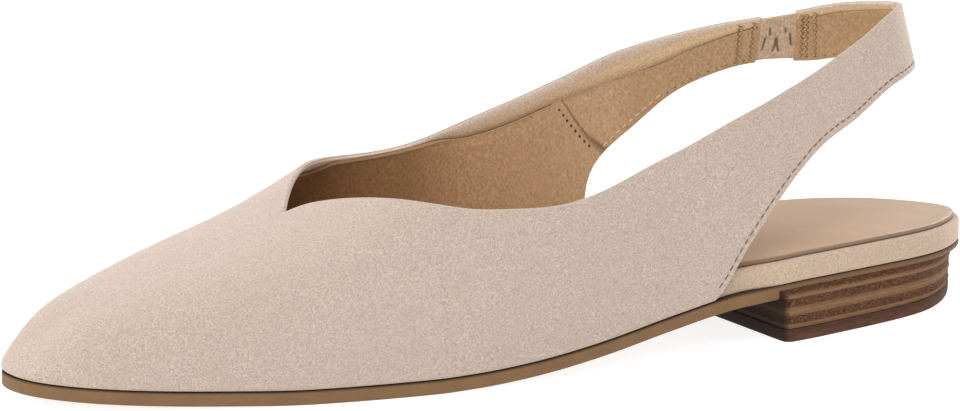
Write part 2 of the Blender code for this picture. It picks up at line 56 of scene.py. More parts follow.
# Heel
HEEL_LIFT = 12.3 * MM
HEEL_LENGTH = 72 * MM
HEEL_INSET = 0.9 * MM
HEEL_TAPER = 0.5 * MM
HEEL_BACK_INSET = 1.2 * MM
HEEL_CORNER = 2.5 * MM
HEEL_MIDDLE = 0.15
HEEL_BACK_RUN = 0.08
TOP_PIECE_THICKNESS = 3.4 * MM
BREAST_TURN = 0.10
BREAST_FLARE = 2.4 * MM
BREAST_FLARE_LEVEL = 0.78

# Insole board and sock
RAND_HEIGHT = 5.7 * MM
BOARD_THICKNESS = 2.0 * MM
SOCK_THICKNESS = 1.0 * MM
SOCK_MARGIN = 1.4 * MM
SOCK_DOME = 0.6 * MM
TOE_MARGIN = 5 * MM
TOE_MARGIN_START = 0.86
SEAT_END = 0.26
SEAT_BLEND = 0.05
SEAT_MIDDLE = 0.12
TOE_MIDDLE = 0.82

# Upper
WALL = 1.5 * MM
OVERHANG = 0.4 * MM
LOOP_LEAN = 0.28
LOOP_OFFSET = -2 * MM
LOOP_WIDTH = 67 * MM
LOOP_LEAN_POWER = 6
LOOP_OFFSET_RUN = 0.4
LOOP_END = 0.24
LOOP_BLEND = 0.2
LOOP_CLIMB = 0.3
TOE_BOW_RUN = 0.1
GORE_START = 29 * MM
GORE_LENGTH = 11.3 * MM
GORE_MARGIN = 0.9 * MM

# Gap between two pieces that touch
CLEARANCE = 0.3 * MM

# Mesh density
HEEL_SIDE_POINTS = 17
HEEL_CORNER_POINTS = 4
FINE_STEPS = 400
ANGLE_STEP = 1e-3
WELD = 0.001 * MM


def table(names, *rows):
    """The rows as one array for each named column."""
    return dict(zip(names.split(), np.array(rows, float).T))


# Outline of the sole, seen from below. share: along the length from the heel. centre, half: of the ball
# width.
OUTLINE = table(
    "share centre half",
    (0.000, 0.000, 0.000),
    (0.020, 0.011, 0.127),
    (0.060, 0.025, 0.232),
    (0.120, 0.036, 0.309),
    (0.190, 0.059, 0.349),
    (0.270, 0.085, 0.372),
    (0.360, 0.080, 0.376),
    (0.460, 0.092, 0.405),
    (0.560, 0.080, 0.448),
    (0.650, 0.023, 0.489),
    (0.720, -0.013, 0.491),
    (0.790, -0.029, 0.453),
    (0.860, -0.033, 0.387),
    (0.920, -0.031, 0.304),
    (0.965, -0.025, 0.200),
    (0.990, -0.032, 0.109),
    (1.000, -0.043, 0.000),
)

# Lower face of the sole. lift: share of the heel lift. spring: share of the toe spring.
PROFILE = table(
    "share lift spring",
    (0.00, 0.86, 0.00),
    (0.08, 0.95, 0.00),
    (0.15, 0.99, 0.00),
    (0.23, 1.00, 0.00),
    (0.30, 0.91, 0.00),
    (0.38, 0.61, 0.00),
    (0.46, 0.32, 0.00),
    (0.54, 0.12, 0.00),
    (0.60, 0.03, 0.00),
    (0.64, 0.00, 0.00),
    (0.75, 0.00, 0.00),
    (0.84, 0.00, 0.28),
    (0.92, 0.00, 0.61),
    (1.00, 0.00, 1.00),
)

# Thickness of the insole board: 1 is the rand round the seat, 0 the board under the forefoot.
BOARD = table(
    "share rand",
    (0.00, 1.0),
    (0.34, 1.0),
    (0.48, 0.2),
    (0.60, 0.0),
    (1.00, 0.0),
)

# Ridge of the last, from the heel to the toe. top: where the rib from this station meets the ridge.
# across: of the ball width. rise: above the sole, of the instep rise. full_out, full_in: how square the
# section is on each side. bow_out, bow_in: how far the outer and the inner wall belly out, of the ball
# width.
RIDGE = table(
    "share top across rise full_out full_in bow_out bow_in",
    (0.00, 0.000, 0.00, 2.40, 0.20, 0.20, 0.020, 0.020),
    (0.33, 0.330, 0.00, 2.30, 0.20, 0.20, 0.020, 0.100),
    (0.42, 0.420, 0.00, 2.10, 0.20, 0.20, 0.025, 0.090),
    (0.50, 0.500, 0.01, 1.83, 0.20, 0.22, 0.030, 0.070),
    (0.58, 0.580, 0.01, 1.52, 0.20, 0.26, 0.033, 0.055),
    (0.65, 0.650, 0.00, 1.22, 0.21, 0.27, 0.033, 0.045),
    (0.72, 0.722, 0.00, 0.945, 0.22, 0.24, 0.033, 0.040),
    (0.79, 0.790, -0.02, 0.760, 0.23, 0.24, 0.032, 0.036),
    (0.86, 0.855, -0.03, 0.590, 0.22, 0.25, 0.028, 0.032),
    (0.92, 0.905, -0.03, 0.456, 0.20, 0.25, 0.020, 0.024),
    (0.97, 0.935, -0.03, 0.355, 0.25, 0.25, 0.008, 0.010),
    (1.00, 0.945, -0.03, 0.305, 0.29, 0.29, 0.000, 0.000),
)

# Edge of the stacked heel, from the top piece up. level: share of its height. cut: 1 in a sunk band, 0 on
# a ridge.
STACK = table(
    "level cut",
    (0.00, 1.0),
    (0.04, 1.0),
    (0.07, 0.0),
    (0.12, 0.0),
    (0.15, 1.0),
    (0.37, 1.0),
    (0.40, 0.0),
    (0.45, 0.0),
    (0.48, 1.0),
    (0.72, 1.0),
    (0.75, 0.0),
    (0.80, 0.0),
    (0.83, 1.0),
    (1.00, 1.0),
)

# Plan of the strap's loop round the heel. share: along the length from its bend. half: of the loop's width.
LOOP = table(
    "share half",
    (0.00, 0.00),
    (0.02, 0.10),
    (0.05, 0.17),
    (0.11, 0.24),
    (0.17, 0.32),
    (0.24, 0.41),
    (0.33, 0.48),
    (0.45, 0.51),
)

# Edges of the upper on each side, from the bend of the strap to the tip of the throat. low, top: shares
# of the length. low_climb, top_climb: shares of the way from the sole up to the ridge. A low_climb of 0
# is on the sole.
OUTER_EDGES = table(
    "low low_climb top top_climb",
    (0.000, 0.290, 0.000, 0.425),
    (0.040, 0.280, 0.040, 0.420),
    (0.090, 0.255, 0.095, 0.380),
    (0.140, 0.222, 0.150, 0.345),
    (0.190, 0.198, 0.205, 0.318),
    (0.235, 0.160, 0.260, 0.298),
    (0.275, 0.112, 0.310, 0.288),
    (0.310, 0.052, 0.360, 0.281),
    (0.338, 0.000, 0.410, 0.283),
    (0.400, 0.000, 0.460, 0.291),
    (0.460, 0.000, 0.510, 0.321),
    (0.525, 0.000, 0.560, 0.388),
    (0.590, 0.000, 0.610, 0.502),
    (0.645, 0.000, 0.660, 0.726),
    (0.690, 0.000, 0.697, 0.930),
    (0.7060, 0.000, 0.7160, 0.984),
    (0.7212, 0.000, 0.7212, 1.000),
)
INNER_EDGES = table(
    "low low_climb top top_climb",
    (0.000, 0.290, 0.000, 0.425),
    (0.050, 0.286, 0.040, 0.405),
    (0.100, 0.275, 0.090, 0.385),
    (0.155, 0.272, 0.145, 0.364),
    (0.205, 0.255, 0.200, 0.349),
    (0.255, 0.223, 0.250, 0.335),
    (0.305, 0.181, 0.300, 0.331),
    (0.355, 0.130, 0.350, 0.336),
    (0.372, 0.000, 0.400, 0.348),
    (0.410, 0.000, 0.450, 0.365),
    (0.465, 0.000, 0.500, 0.380),
    (0.525, 0.000, 0.550, 0.397),
    (0.590, 0.000, 0.600, 0.461),
    (0.645, 0.000, 0.648, 0.611),
    (0.690, 0.000, 0.694, 0.845),
    (0.7060, 0.000, 0.7155, 0.972),
    (0.7212, 0.000, 0.7212, 1.000),
)
CORNER_ROW = 8


def spline(x, xs, ys):
    """A natural cubic spline through the points (xs, ys), read at x."""
    xs = np.asarray(xs, float)
    ys = np.asarray(ys, float)
    gap = np.diff(xs)
    slope = np.diff(ys) / gap
    count = len(xs)
    system = np.eye(count)
    target = np.zeros(count)
    for i in range(1, count - 1):
        system[i, i - 1:i + 2] = gap[i - 1], 2 * (gap[i - 1] + gap[i]), gap[i]
        target[i] = 6 * (slope[i] - slope[i - 1])
    bend = np.linalg.solve(system, target)
    x = np.clip(np.asarray(x, float), xs[0], xs[-1])
    k = np.clip(np.searchsorted(xs, x) - 1, 0, count - 2)
    a = (xs[k + 1] - x) / gap[k]
    b = 1 - a
    curve = (a**3 - a) * bend[k] + (b**3 - b) * bend[k + 1]
    return a * ys[k] + b * ys[k + 1] + curve * gap[k] ** 2 / 6


def steady(x, xs, ys):
    """A smooth curve through the points (xs, ys), read at x, that stays flat where the points are level."""
    xs = np.asarray(xs, float)
    ys = np.asarray(ys, float)
    gap = np.diff(xs)
    slope = np.diff(ys) / gap
    lean = np.zeros(len(xs))
    for i in range(1, len(xs) - 1):
        if slope[i - 1] * slope[i] > 0:
            weight = gap[i - 1] + 2 * gap[i], 2 * gap[i - 1] + gap[i]
            lean[i] = sum(weight) / (weight[0] / slope[i - 1] + weight[1] / slope[i])
    lean[0] = slope[0]
    lean[-1] = slope[-1]
    x = np.clip(np.asarray(x, float), xs[0], xs[-1])
    k = np.clip(np.searchsorted(xs, x) - 1, 0, len(xs) - 2)
    b = (x - xs[k]) / gap[k]
    ends = (1 + 2 * b) * (1 - b) ** 2 * ys[k] + b**2 * (3 - 2 * b) * ys[k + 1]
    return ends + gap[k] * b * (1 - b) * ((1 - b) * lean[k] - b * lean[k + 1])


def turn(share):
    """The share of a length as an angle, so that both ends of an outline come out round."""
    return np.arccos(1 - 2 * np.clip(share, 0, 1))


def ease(x):
    """0 up to x = 0, 1 from x = 1 on, smooth between."""
    x = np.clip(x, 0, 1)
    return x * x * (3 - 2 * x)


def sole_edge(share, side):
    """Sideways position of the sole's edge. side is 1 on the outer side and -1 on the inner side."""
    angle = turn(share)
    knots = turn(OUTLINE["share"])
    centre = spline(angle, knots, OUTLINE["centre"])
    half = spline(angle, knots, OUTLINE["half"])
    return BALL_WIDTH * (centre + side * half)


def sole_bottom(share):
    """Height of the outsole's lower face above the floor."""
    lift = steady(share, PROFILE["share"], PROFILE["lift"])
    spring = steady(share, PROFILE["share"], PROFILE["spring"])
    return HEEL_LIFT * lift + TOE_SPRING * spring


def bed(share):
    """Height of the outsole's upper face above the floor."""
    return sole_bottom(share) + OUTSOLE_THICKNESS


def edge_place(angle):
    """A point of the sole's outline. The angle is 0 at the back and pi at the toe, below zero inside."""
    side = np.where(np.sin(angle) >= 0, 1, -1)
    share = (1 - np.cos(angle)) / 2
    return np.stack([LENGTH * share, sole_edge(share, side)], -1)


def edge_outward(angle):
    """The direction straight out of the sole's outline, in plan."""
    along = edge_place(angle + ANGLE_STEP) - edge_place(angle - ANGLE_STEP)
    along /= np.linalg.norm(along, axis=-1)[..., None]
    return np.stack([-along[..., 1], along[..., 0]], -1)


def ahead_of_breast(plan):
    """How far plan points lie ahead of the line where the heel's breast meets the outsole."""
    reach = HEEL_LENGTH + BREAST_FLARE - HEEL_INSET + CLEARANCE
    return plan[..., 0] + BREAST_TURN * plan[..., 1] - reach


def breast_angle(side):
    angles = np.linspace(0, np.pi / 2, FINE_STEPS)
    return float(np.interp(0, ahead_of_breast(edge_place(side * angles)), angles))


def edge_loop(inset, stations, with_breast=False):
    """The sole's outline moved inwards, from the back along the outer side to the toe and back."""
    outer = np.linspace(0, np.pi, stations + 1)
    inner = outer.copy()
    if with_breast:
        near = int(np.searchsorted(outer, breast_angle(1)))
        half = SEAT_STEP_RUN / LENGTH
        outer[near - 1:near + 1] = breast_angle(1) - half, breast_angle(1) + half
        inner[near - 1:near + 1] = breast_angle(-1) - half, breast_angle(-1) + half
    around = np.concatenate([outer, -inner[-2:0:-1]])
    points = edge_place(around)
    if callable(inset):
        inset = inset(points[:, 0] / LENGTH)[:, None]
    return points - edge_outward(around) * inset


def ridge_value(name, share):
    return spline(share, RIDGE["share"], RIDGE[name])


def ridge_height(place):
    """Height of the ridge above the floor. place: along it, as a share of the length."""
    return bed(place) + INSTEP_RISE * spline(place, RIDGE["top"], RIDGE["rise"])


def skin(share, climb, side):
    """A point on the last, where the upper's inner face lies. climb is 0 at the sole and 1 on the ridge."""
    share, climb, side = np.broadcast_arrays(share, climb, side)
    angle = climb * np.pi / 2
    full = np.where(side > 0, ridge_value("full_out", share), ridge_value("full_in", share))
    cross = np.cos(angle) * (1 + full * np.sin(angle) ** 2)
    up = np.sin(angle) * (1 + full * np.cos(angle) ** 2)
    plan_angle = turn(share) * side
    foot = edge_place(plan_angle) - edge_outward(plan_angle) * (WALL - OVERHANG)
    foot_x = foot[..., 0]
    foot_y = foot[..., 1]
    foot_z = bed(share) + CLEARANCE
    top = ridge_value("top", share)
    top_y = BALL_WIDTH * ridge_value("across", share)
    top_z = ridge_height(top)
    # Ribs that reach forward from the ridge leave it at the ridge's own slope.
    slope = (ridge_height(top - ANGLE_STEP) - top_z) / (ANGLE_STEP * LENGTH)
    fall = slope * (foot_x - LENGTH * top)
    bow = np.where(side > 0, ridge_value("bow_out", share), ridge_value("bow_in", share))
    bow = BALL_WIDTH * bow * np.sin(2 * angle)
    x = LENGTH * top + (foot_x - LENGTH * top) * cross
    y = top_y + (foot_y - top_y) * cross + side * bow * np.sin(turn(share)) ** 0.5
    z = foot_z + fall * (1 - cross) + (top_z - foot_z - fall) * up
    x = x + bow * ease(1 - (1 - share) / TOE_BOW_RUN)
    # The strap stands in its own loop, narrower than the seat below it.
    loop_share = np.clip(share, 0, LOOP["share"][-1])
    half = spline(turn(loop_share), turn(LOOP["share"]), LOOP["half"])
    loop_y = LOOP_OFFSET * (1 - ease(share / LOOP_OFFSET_RUN)) + side * LOOP_WIDTH * half
    in_loop = (1 - ease((share - LOOP_END) / LOOP_BLEND)) * ease(climb / LOOP_CLIMB)
    y = y + in_loop * (loop_y - y)
    x = x + LOOP_LEAN * (z - foot_z) * (1 - share) ** LOOP_LEAN_POWER
    return np.stack([x, y, z], -1)


def both_sides(name, signed=False):
    """One column of the edge tables, from the throat down the inner side, round the heel and back."""
    inner = INNER_EDGES[name][:0:-1]
    outer = OUTER_EDGES[name]
    if signed:
        return np.concatenate([-turn(inner), turn(outer)])
    return np.concatenate([inner, outer])


THROAT_ROW = len(OUTER_EDGES["low"]) - 1


def edges_at(row):
    """Both edges of the upper at a row, negative on the inner side: two signed angles and two climbs."""
    rows = np.arange(-THROAT_ROW, THROAT_ROW + 1)
    low = spline(row, rows, both_sides("low", signed=True))
    top = spline(row, rows, both_sides("top", signed=True))
    top_climb = spline(row, rows, both_sides("top_climb"))
    free = np.abs(rows) <= CORNER_ROW
    low_climb = spline(row, rows[free], both_sides("low_climb")[free])
    low_climb = np.where(np.abs(row) < CORNER_ROW, np.maximum(low_climb, 0), 0)
    return low, low_climb, top, np.minimum(top_climb, 1)


def row_at_reach(reach):
    """The row on the inner side whose top edge lies this far forward of the strap's bend."""
    rows = np.linspace(-CORNER_ROW, 0, FINE_STEPS)
    forward = (1 - np.cos(edges_at(rows)[2])) / 2 * LENGTH
    return float(np.interp(-reach, -forward, rows))


def on_last(angle, climb):
    """Points on the last at signed plan angles, negative on the inner side."""
    return skin((1 - np.cos(angle)) / 2, climb, np.where(angle < 0, -1, 1))


def between_edges(row, step):
    """Points on the last at these rows. step: shares of the way from the lower edge to the topline."""
    low, low_climb, top, top_climb = edges_at(row)
    return on_last(low + (top - low) * step, low_climb + (top_climb - low_climb) * step)


def band(start, end, columns, rows, trim=0):
    """Points on the last from one row of the edge tables to another, a column for each rib."""
    row = np.linspace(start, end, columns + 1)[:, None]
    return between_edges(row, np.linspace(trim, 1 - trim, rows + 1)[None, :])


def grid_faces(columns, rows, first=0, flip=False):
    """Quads of a grid of points stored column by column."""
    faces = []
    for i in range(columns - 1):
        for j in range(rows - 1):
            a = first + i * rows + j
            quad = [a, a + rows, a + rows + 1, a + 1]
            faces.append(quad[::-1] if flip else quad)
    return faces


def joined(grids):
    """Grids of points as one surface. Each grid comes with a flag that turns its faces over.

    The last value says for each point which of the grids' points it was.
    """
    points = []
    faces = []
    for grid, flip in grids:
        faces += grid_faces(grid.shape[0], grid.shape[1], sum(len(p) for p in points), flip)
        points.append(grid.reshape(-1, 3))
    points = np.concatenate(points)
    _, first, index = np.unique(
        np.round(points / WELD).astype(int), axis=0, return_index=True, return_inverse=True
    )
    index = index.reshape(-1)
    faces = [[int(index[i]) for i in face] for face in faces]
    faces = [list(dict.fromkeys(face)) for face in faces]
    return points[first], [face for face in faces if len(face) > 2], first


def surface_normals(points, faces):
    """Unit normals at the points of a surface."""
    total = np.zeros_like(points)
    for face in faces:
        corners = points[face]
        across = np.zeros(3)
        for i in range(1, len(face) - 1):
            across += np.cross(corners[i] - corners[0], corners[i + 1] - corners[0])
        for i in face:
            total[i] += across
    return total / np.linalg.norm(total, axis=1)[:, None]


def gore_rows():
    return row_at_reach(GORE_START), row_at_reach(GORE_START + GORE_LENGTH)


def ring_solid(rings, stations):
    """A closed solid through rings of the sole's own form, from the lowest ring to the highest."""
    count = len(rings[0])
    faces = []
    for k in range(len(rings) - 1):
        for i in range(count):
            a = k * count + i
            b = k * count + (i + 1) % count
            faces.append([a, a + count, b + count, b])
    top = (len(rings) - 1) * count
    for i in range(stations):
        outer = i, i + 1
        inner = (count - i) % count, count - i - 1
        cap = [outer[0], outer[1], inner[1], inner[0]]
        cap = list(dict.fromkeys(cap))
        faces.append(cap)
        faces.append([top + j for j in cap[::-1]])
    return np.concatenate(rings), faces


def ring_at(plan, height):
    """Plan points with a height for each: height is a function of the share of the length, or a number."""
    z = height(plan[:, 0] / LENGTH) if callable(height) else np.full(len(plan), height)
    return np.column_stack([plan, z])


def board_inset(share):
    """How far the board stays inside the sole's edge: flush round the seat, inside the wall further on."""
    inside = WALL - OVERHANG + CLEARANCE
    at_toe = TOE_MARGIN * ease((share - TOE_MARGIN_START) / (1 - TOE_MARGIN_START))
    return inside * ease((share - SEAT_END) / SEAT_BLEND) + at_toe


def board_top(share):
    rand = steady(share, BOARD["share"], BOARD["rand"])
    return bed(share) + CLEARANCE + BOARD_THICKNESS + (RAND_HEIGHT - BOARD_THICKNESS) * rand


def towards_middle(plan, amount):
    """A plan outline drawn in towards the line down the middle of the sole."""
    x = np.clip(plan[:, 0], SEAT_MIDDLE * LENGTH, TOE_MIDDLE * LENGTH)
    centre = BALL_WIDTH * spline(turn(x / LENGTH), turn(OUTLINE["share"]), OUTLINE["centre"])
    middle = np.column_stack([x, centre])
    return plan + (middle - plan) * amount


def run_along(line):
    """The distance along a line to each of its points."""
    return np.concatenate([[0], np.cumsum(np.linalg.norm(np.diff(line, axis=0), axis=1))])


def read_line(at, run, values):
    """The values given for each point of a line, read at distances along it."""
    return np.stack([np.interp(at, run, column) for column in values.T], -1)


def heel_plan(inset, flare=0):
    """The heel's outline at one level: round the seat and across the breast, with two rounded front corners.

    flare: how far the breast stands forward here.
    """
    shares = np.linspace(0, 1, HEEL_SIDE_POINTS)
    breast = HEEL_LENGTH + flare - inset
    loop = edge_loop(lambda share: inset + HEEL_BACK_INSET * (1 - ease(share / HEEL_BACK_RUN)), FINE_STEPS)
    half = len(loop) // 2
    outer = loop[: half + 1]
    inner = np.concatenate([loop[:1], loop[:half:-1]])

    def side_points(line):
        ahead = line[:, 0] + BREAST_TURN * line[:, 1] - breast
        last = int(np.argmax(ahead > 0))
        line = line[: last + 1]
        run = run_along(line)
        share = ahead[last - 1] / (ahead[last - 1] - ahead[last])
        end = run[last - 1] + share * (run[last] - run[last - 1])
        return read_line((end - HEEL_CORNER) * shares, run, line), read_line(end, run, line)

    out_points, out_corner = side_points(outer)
    in_points, in_corner = side_points(inner)
    across = (in_corner - out_corner) / np.linalg.norm(in_corner - out_corner)

    def corner_points(start, corner, end):
        step = np.linspace(0, 1, HEEL_CORNER_POINTS + 1)[1:, None]
        return (1 - step) ** 2 * start + 2 * step * (1 - step) * corner + step**2 * end

    front_out = corner_points(out_points[-1], out_corner, out_corner + across * HEEL_CORNER)
    front_in = corner_points(in_points[-1], in_corner, in_corner - across * HEEL_CORNER)
    return np.concatenate([out_points, front_out, front_in[::-1], in_points[:0:-1]])


def heel_inset(level):
    """The heel draws in slightly towards the floor. level is 0 at the floor and 1 under the outsole."""
    return HEEL_INSET + HEEL_TAPER * (1 - level)


def breast_flare(level):
    """The breast turns forward under the outsole. level is 0 at the top piece and 1 under the outsole."""
    return BREAST_FLARE * ease((level - BREAST_FLARE_LEVEL) / (1 - BREAST_FLARE_LEVEL))


# Dressed detail
RIB_SAMPLES = 70
LOW_MARKS = np.array([0, 0.15, 0.35, 0.6, 0.95, 1.25, 1.5, 1.8, 2.1, 2.4, 2.9, 3.6]) * MM
TOP_MARKS = np.array([0, 0.12, 0.3, 0.5]) * MM
MIDDLE_POINTS = 26
STRAP_COLUMNS = 150
QUARTER_COLUMNS = 66
TOE_COLUMNS = 60
EDGE_ROUND = 0.6 * MM
TUCK = 1.1 * MM
RIM_STEPS = 4
MARKS_SHARE = 0.7
LEAST_ROOM = 1e-7
LEAST_TURN_OVER = 0.9 * MM
BAND_MARK_BEFORE = 0.15 * MM
BAND_MARK_BEHIND = 0.25 * MM
HAIR = 0.05 * MM
SHEET_GAP = 0.1 * MM

# Relief of the upper's two faces
OUTER_ROUND = 0.8
INNER_TOP_ROUND = 0.6
INNER_LOW_ROUND = 0.3
TUCK_DEPTH = 0.75
GROOVE_WIDTH = 0.33 * MM
GROOVE_DEPTH = 0.28 * MM
CREASE_FADE = 4 * MM
CREASE_REACH = 20 * MM
ROLL_SWELL = 0.55 * MM
ROLL_TROUGH = 0.40 * MM
ROLL_START = 6.2
ROLL_END = 9.6
ROLL_FADE = 1.2
NARROW_START = 9.5
NARROW_FADE = 1.5
# Rows from which painted highlight lightens the turned band
PAINTED_LIGHT_START = 10.2
PAINTED_LIGHT_FADE = 0.8

# Stitches along the edges
STITCH_INSET = 1.8 * MM
STITCH_PITCH = 2.5 * MM
QUARTER_STITCH_ROW = 5.2

# Linings
LINING_THICKNESS = 0.4 * MM
LINING_STEP = 0.15 * MM
LINING_LOW_EDGE = 0.5 * MM
LINING_GAP = 0.1 * MM
LINING_OVERLAP = 0.25
SEAM_WIDTH = 0.40 * MM
WAVE_HEIGHT = 0.12 * MM
WAVE_LENGTH = 3.1 * MM
LIP_HEIGHT = 0.22 * MM

# Threads and needle holes. Numbers without a unit are counts, shares or rows of the edge tables.
THREAD_RINGS = 6
THREAD_SIDES = 6
THREAD_TIP = 0.15
TACK_COUNT = 16
TACK_START = 0.08
TACK_SPAN = 0.84
TACK_SWAY = 0.5 * MM
TACK_RADIUS = 0.26 * MM
TACK_HOLE_RADIUS = 0.12 * MM
TACK_HOLE_AHEAD = 0.035
OUTER_TACK_ROWS = np.array([0.08, 0.20, 0.42])
INNER_TACK_ROWS = np.array([0.08, 0.36])
HOLES_AHEAD_LOW = 0.09
HOLES_AHEAD_TOP = 0.21
HOLES_START = 4.4 * MM
HOLES_END = 6.6 * MM
HOLE_PITCH = 1.9 * MM
HOLE_LENGTH = 0.7 * MM
HOLE_RADIUS = 0.36 * MM

# Elastic
ELASTIC_COLUMNS = 56
ELASTIC_ROWS = 40
SLIT_WIDTH = 0.038

# Sole, heel and sock
FINE_STATIONS = 150
STACK_LEVELS = 61
STACK_CUT = 0.22 * MM
SOCK_DRAWS = (0.06, 0.12, 0.2, 0.3, 0.42, 0.55, 0.68, 0.8, 0.9)

# Rounded edge of the sock. draw: share of the way inwards. height: of its thickness. away: millimetres
# from the rim.
SOCK_RIM = table(
    "draw height away",
    (0.0, 0.0, 0.0),
    (0.0, 0.35, 0.0),
    (0.004, 0.7, 0.1),
    (0.012, 0.92, 0.4),
    (0.03, 1.0, 1.0),
)

# Side of the top piece. level: share of its height. inset: in millimetres.
LIFT_EDGE = table(
    "level inset",
    (0, 0.35),
    (0.05, 0.15),
    (0.12, 0.05),
    (0.25, 0),
    (0.5, 0),
    (0.75, 0),
    (0.92, 0.02),
    (0.98, 0.08),
    (1.0, 0.25),
)

# Width of the suede turned over to the inside along the topline. row: of the edge tables, negative on the
# inner side.
TURN_OVER = table(
    "row width",
    (-16, 1.0),
    (-14.6, 1.1),
    (-14, 1.9),
    (-13.2, 4.4),
    (-12.8, 2.6),
    (-12.4, 0.8),
    (-11.7, 0.6),
    (-11.1, 0.7),
    (-10.5, 1.3),
    (-9.7, 4.4),
    (-9, 5.3),
    (-8, 5.4),
    (-7.2, 6.4),
    (-6.4, 7.2),
    (-5.7, 7.0),
    (-5.1, 6.4),
    (-4.6, 5.0),
    (-3.9, 3.6),
    (-3.3, 2.6),
    (-1.5, 2.4),
    (0, 2.1),
    (3, 3.0),
    (8, 4.0),
    (12, 1.5),
    (16, 1.0),
)

# Where the front lining ends on each quarter: the row at the lower edge and the row at the topline.
LINING_SEAM_LOW = 6.47
LINING_SEAM_TOP = 7.87


def turn_over(row):
    return MM * steady(row, TURN_OVER["row"], TURN_OVER["width"])


def middle_of_tread():
    return (HEEL_INSET + HEEL_TAPER + HEEL_BACK_INSET + HEEL_LENGTH) / 2


def placed(points):
    """Points from the shoe's own frame, moved so that the origin is under the heel."""
    return np.asarray(points, float) - (middle_of_tread(), 0, 0)


def spaced(lines, over, low_trim=0, top_trim=0):
    """Resamples ribs at set distances from both ends. over: width of the turned-over band at each rib.

    Gives the points, and for each one its distance from the lower and from the upper end.
    """
    points = []
    lows = []
    tops = []
    widths = [np.broadcast_to(value, len(lines)) for value in (over, low_trim, top_trim)]
    for line, turned, low_cut, top_cut in zip(lines, *widths):
        run = run_along(line)
        turned = max(turned, LEAST_TURN_OVER)
        inner = np.linspace(TOP_MARKS[-1], turned - BAND_MARK_BEFORE, 4)[1:]
        top = np.concatenate([TOP_MARKS, inner, [turned, turned + BAND_MARK_BEHIND]])
        room = max(run[-1] - low_cut - top_cut, LEAST_ROOM)
        share = min(1, MARKS_SHARE * room / (LOW_MARKS[-1] + top[-1]))
        first = low_cut + LOW_MARKS * share
        last = run[-1] - top_cut - top[::-1] * share
        middle = np.linspace(first[-1], last[0], MIDDLE_POINTS + 2)[1:-1]
        at = np.concatenate([first, middle, last])
        points.append(read_line(at, run, line))
        lows.append(at - low_cut)
        tops.append(run[-1] - top_cut - at)
    return np.array(points), np.array(lows), np.array(tops)


def rib_lines(rows):
    """Fine lines on the last from the lower edge to the topline. rows: a row for each point of each rib."""
    return between_edges(rows, np.linspace(0, 1, rows.shape[1])[None, :])


def straight_rows(start, end, columns):
    return np.repeat(np.linspace(start, end, columns + 1)[:, None], RIB_SAMPLES + 1, axis=1)


def sheared_rows(start, end, columns):
    """Rows from one line of rows to another, where each line runs from a low row to a top row."""
    step = np.linspace(0, 1, RIB_SAMPLES + 1)[None, :]
    share = np.linspace(0, 1, columns + 1)[:, None]
    first = start[0] + (start[1] - start[0]) * step
    last = end[0] + (end[1] - end[0]) * step
    return first + (last - first) * share


def toe_lines(side):
    """Fine lines over one side of the toe, from the sole up to the tip of the throat."""
    start = turn(OUTER_EDGES["low"][-1])
    angle = side * np.linspace(start, np.pi, TOE_COLUMNS + 1)[:, None]
    return on_last(angle, np.linspace(0, 1, RIB_SAMPLES + 1)[None, :])


def patch_data(*columns):
    return np.stack(np.broadcast_arrays(*columns), -1)


def quarter_patch(rows, low_trim=None, top_trim=None):
    """A patch of the upper from ribs, with its data and whether its faces turn over.

    Data of a point: its distances from the lower and the upper edge, its row, the width of the turned-over
    band, 1 where the lower edge is free, and 1 on the toe.
    """
    over = turn_over(rows[:, -1])
    low_cut = low_trim(rows[:, 0]) if low_trim else 0
    top_cut = top_trim(rows[:, -1]) if top_trim else 0
    points, low, top = spaced(rib_lines(rows), over, low_cut, top_cut)
    free = np.abs(rows[:, :1]) < CORNER_ROW
    return points, patch_data(low, top, rows[:, -1:], over[:, None], free, 0.0), rows[-1, 0] > rows[0, 0]


def toe_patch(side, top_trim=None):
    """A patch over one side of the toe, with the same data as a patch of a quarter."""
    lines = toe_lines(side)
    ahead = np.linalg.norm(lines[:, -1] - lines[0, -1], axis=1)
    over = turn_over(THROAT_ROW)
    points, low, top = spaced(lines, over, 0, top_trim(ahead) if top_trim else 0)
    from_throat = np.hypot(top, ahead[:, None])
    return points, patch_data(low, from_throat, THROAT_ROW * side, over, 0.0, 1.0), side > 0


def joined_patches(patches):
    """Patches welded into one surface, with the data of each point."""
    points, faces, first = joined([(grid, flip) for grid, _, flip in patches])
    return points, faces, np.concatenate([data.reshape(-1, data.shape[-1]) for _, data, _ in patches])[first]


def round_over(distance, radius):
    """How far a face falls back near an edge that is rounded with this radius."""
    x = np.clip(1 - distance / radius, 0, 1)
    return radius * (1 - np.sqrt(np.maximum(1 - x * x, 0)))


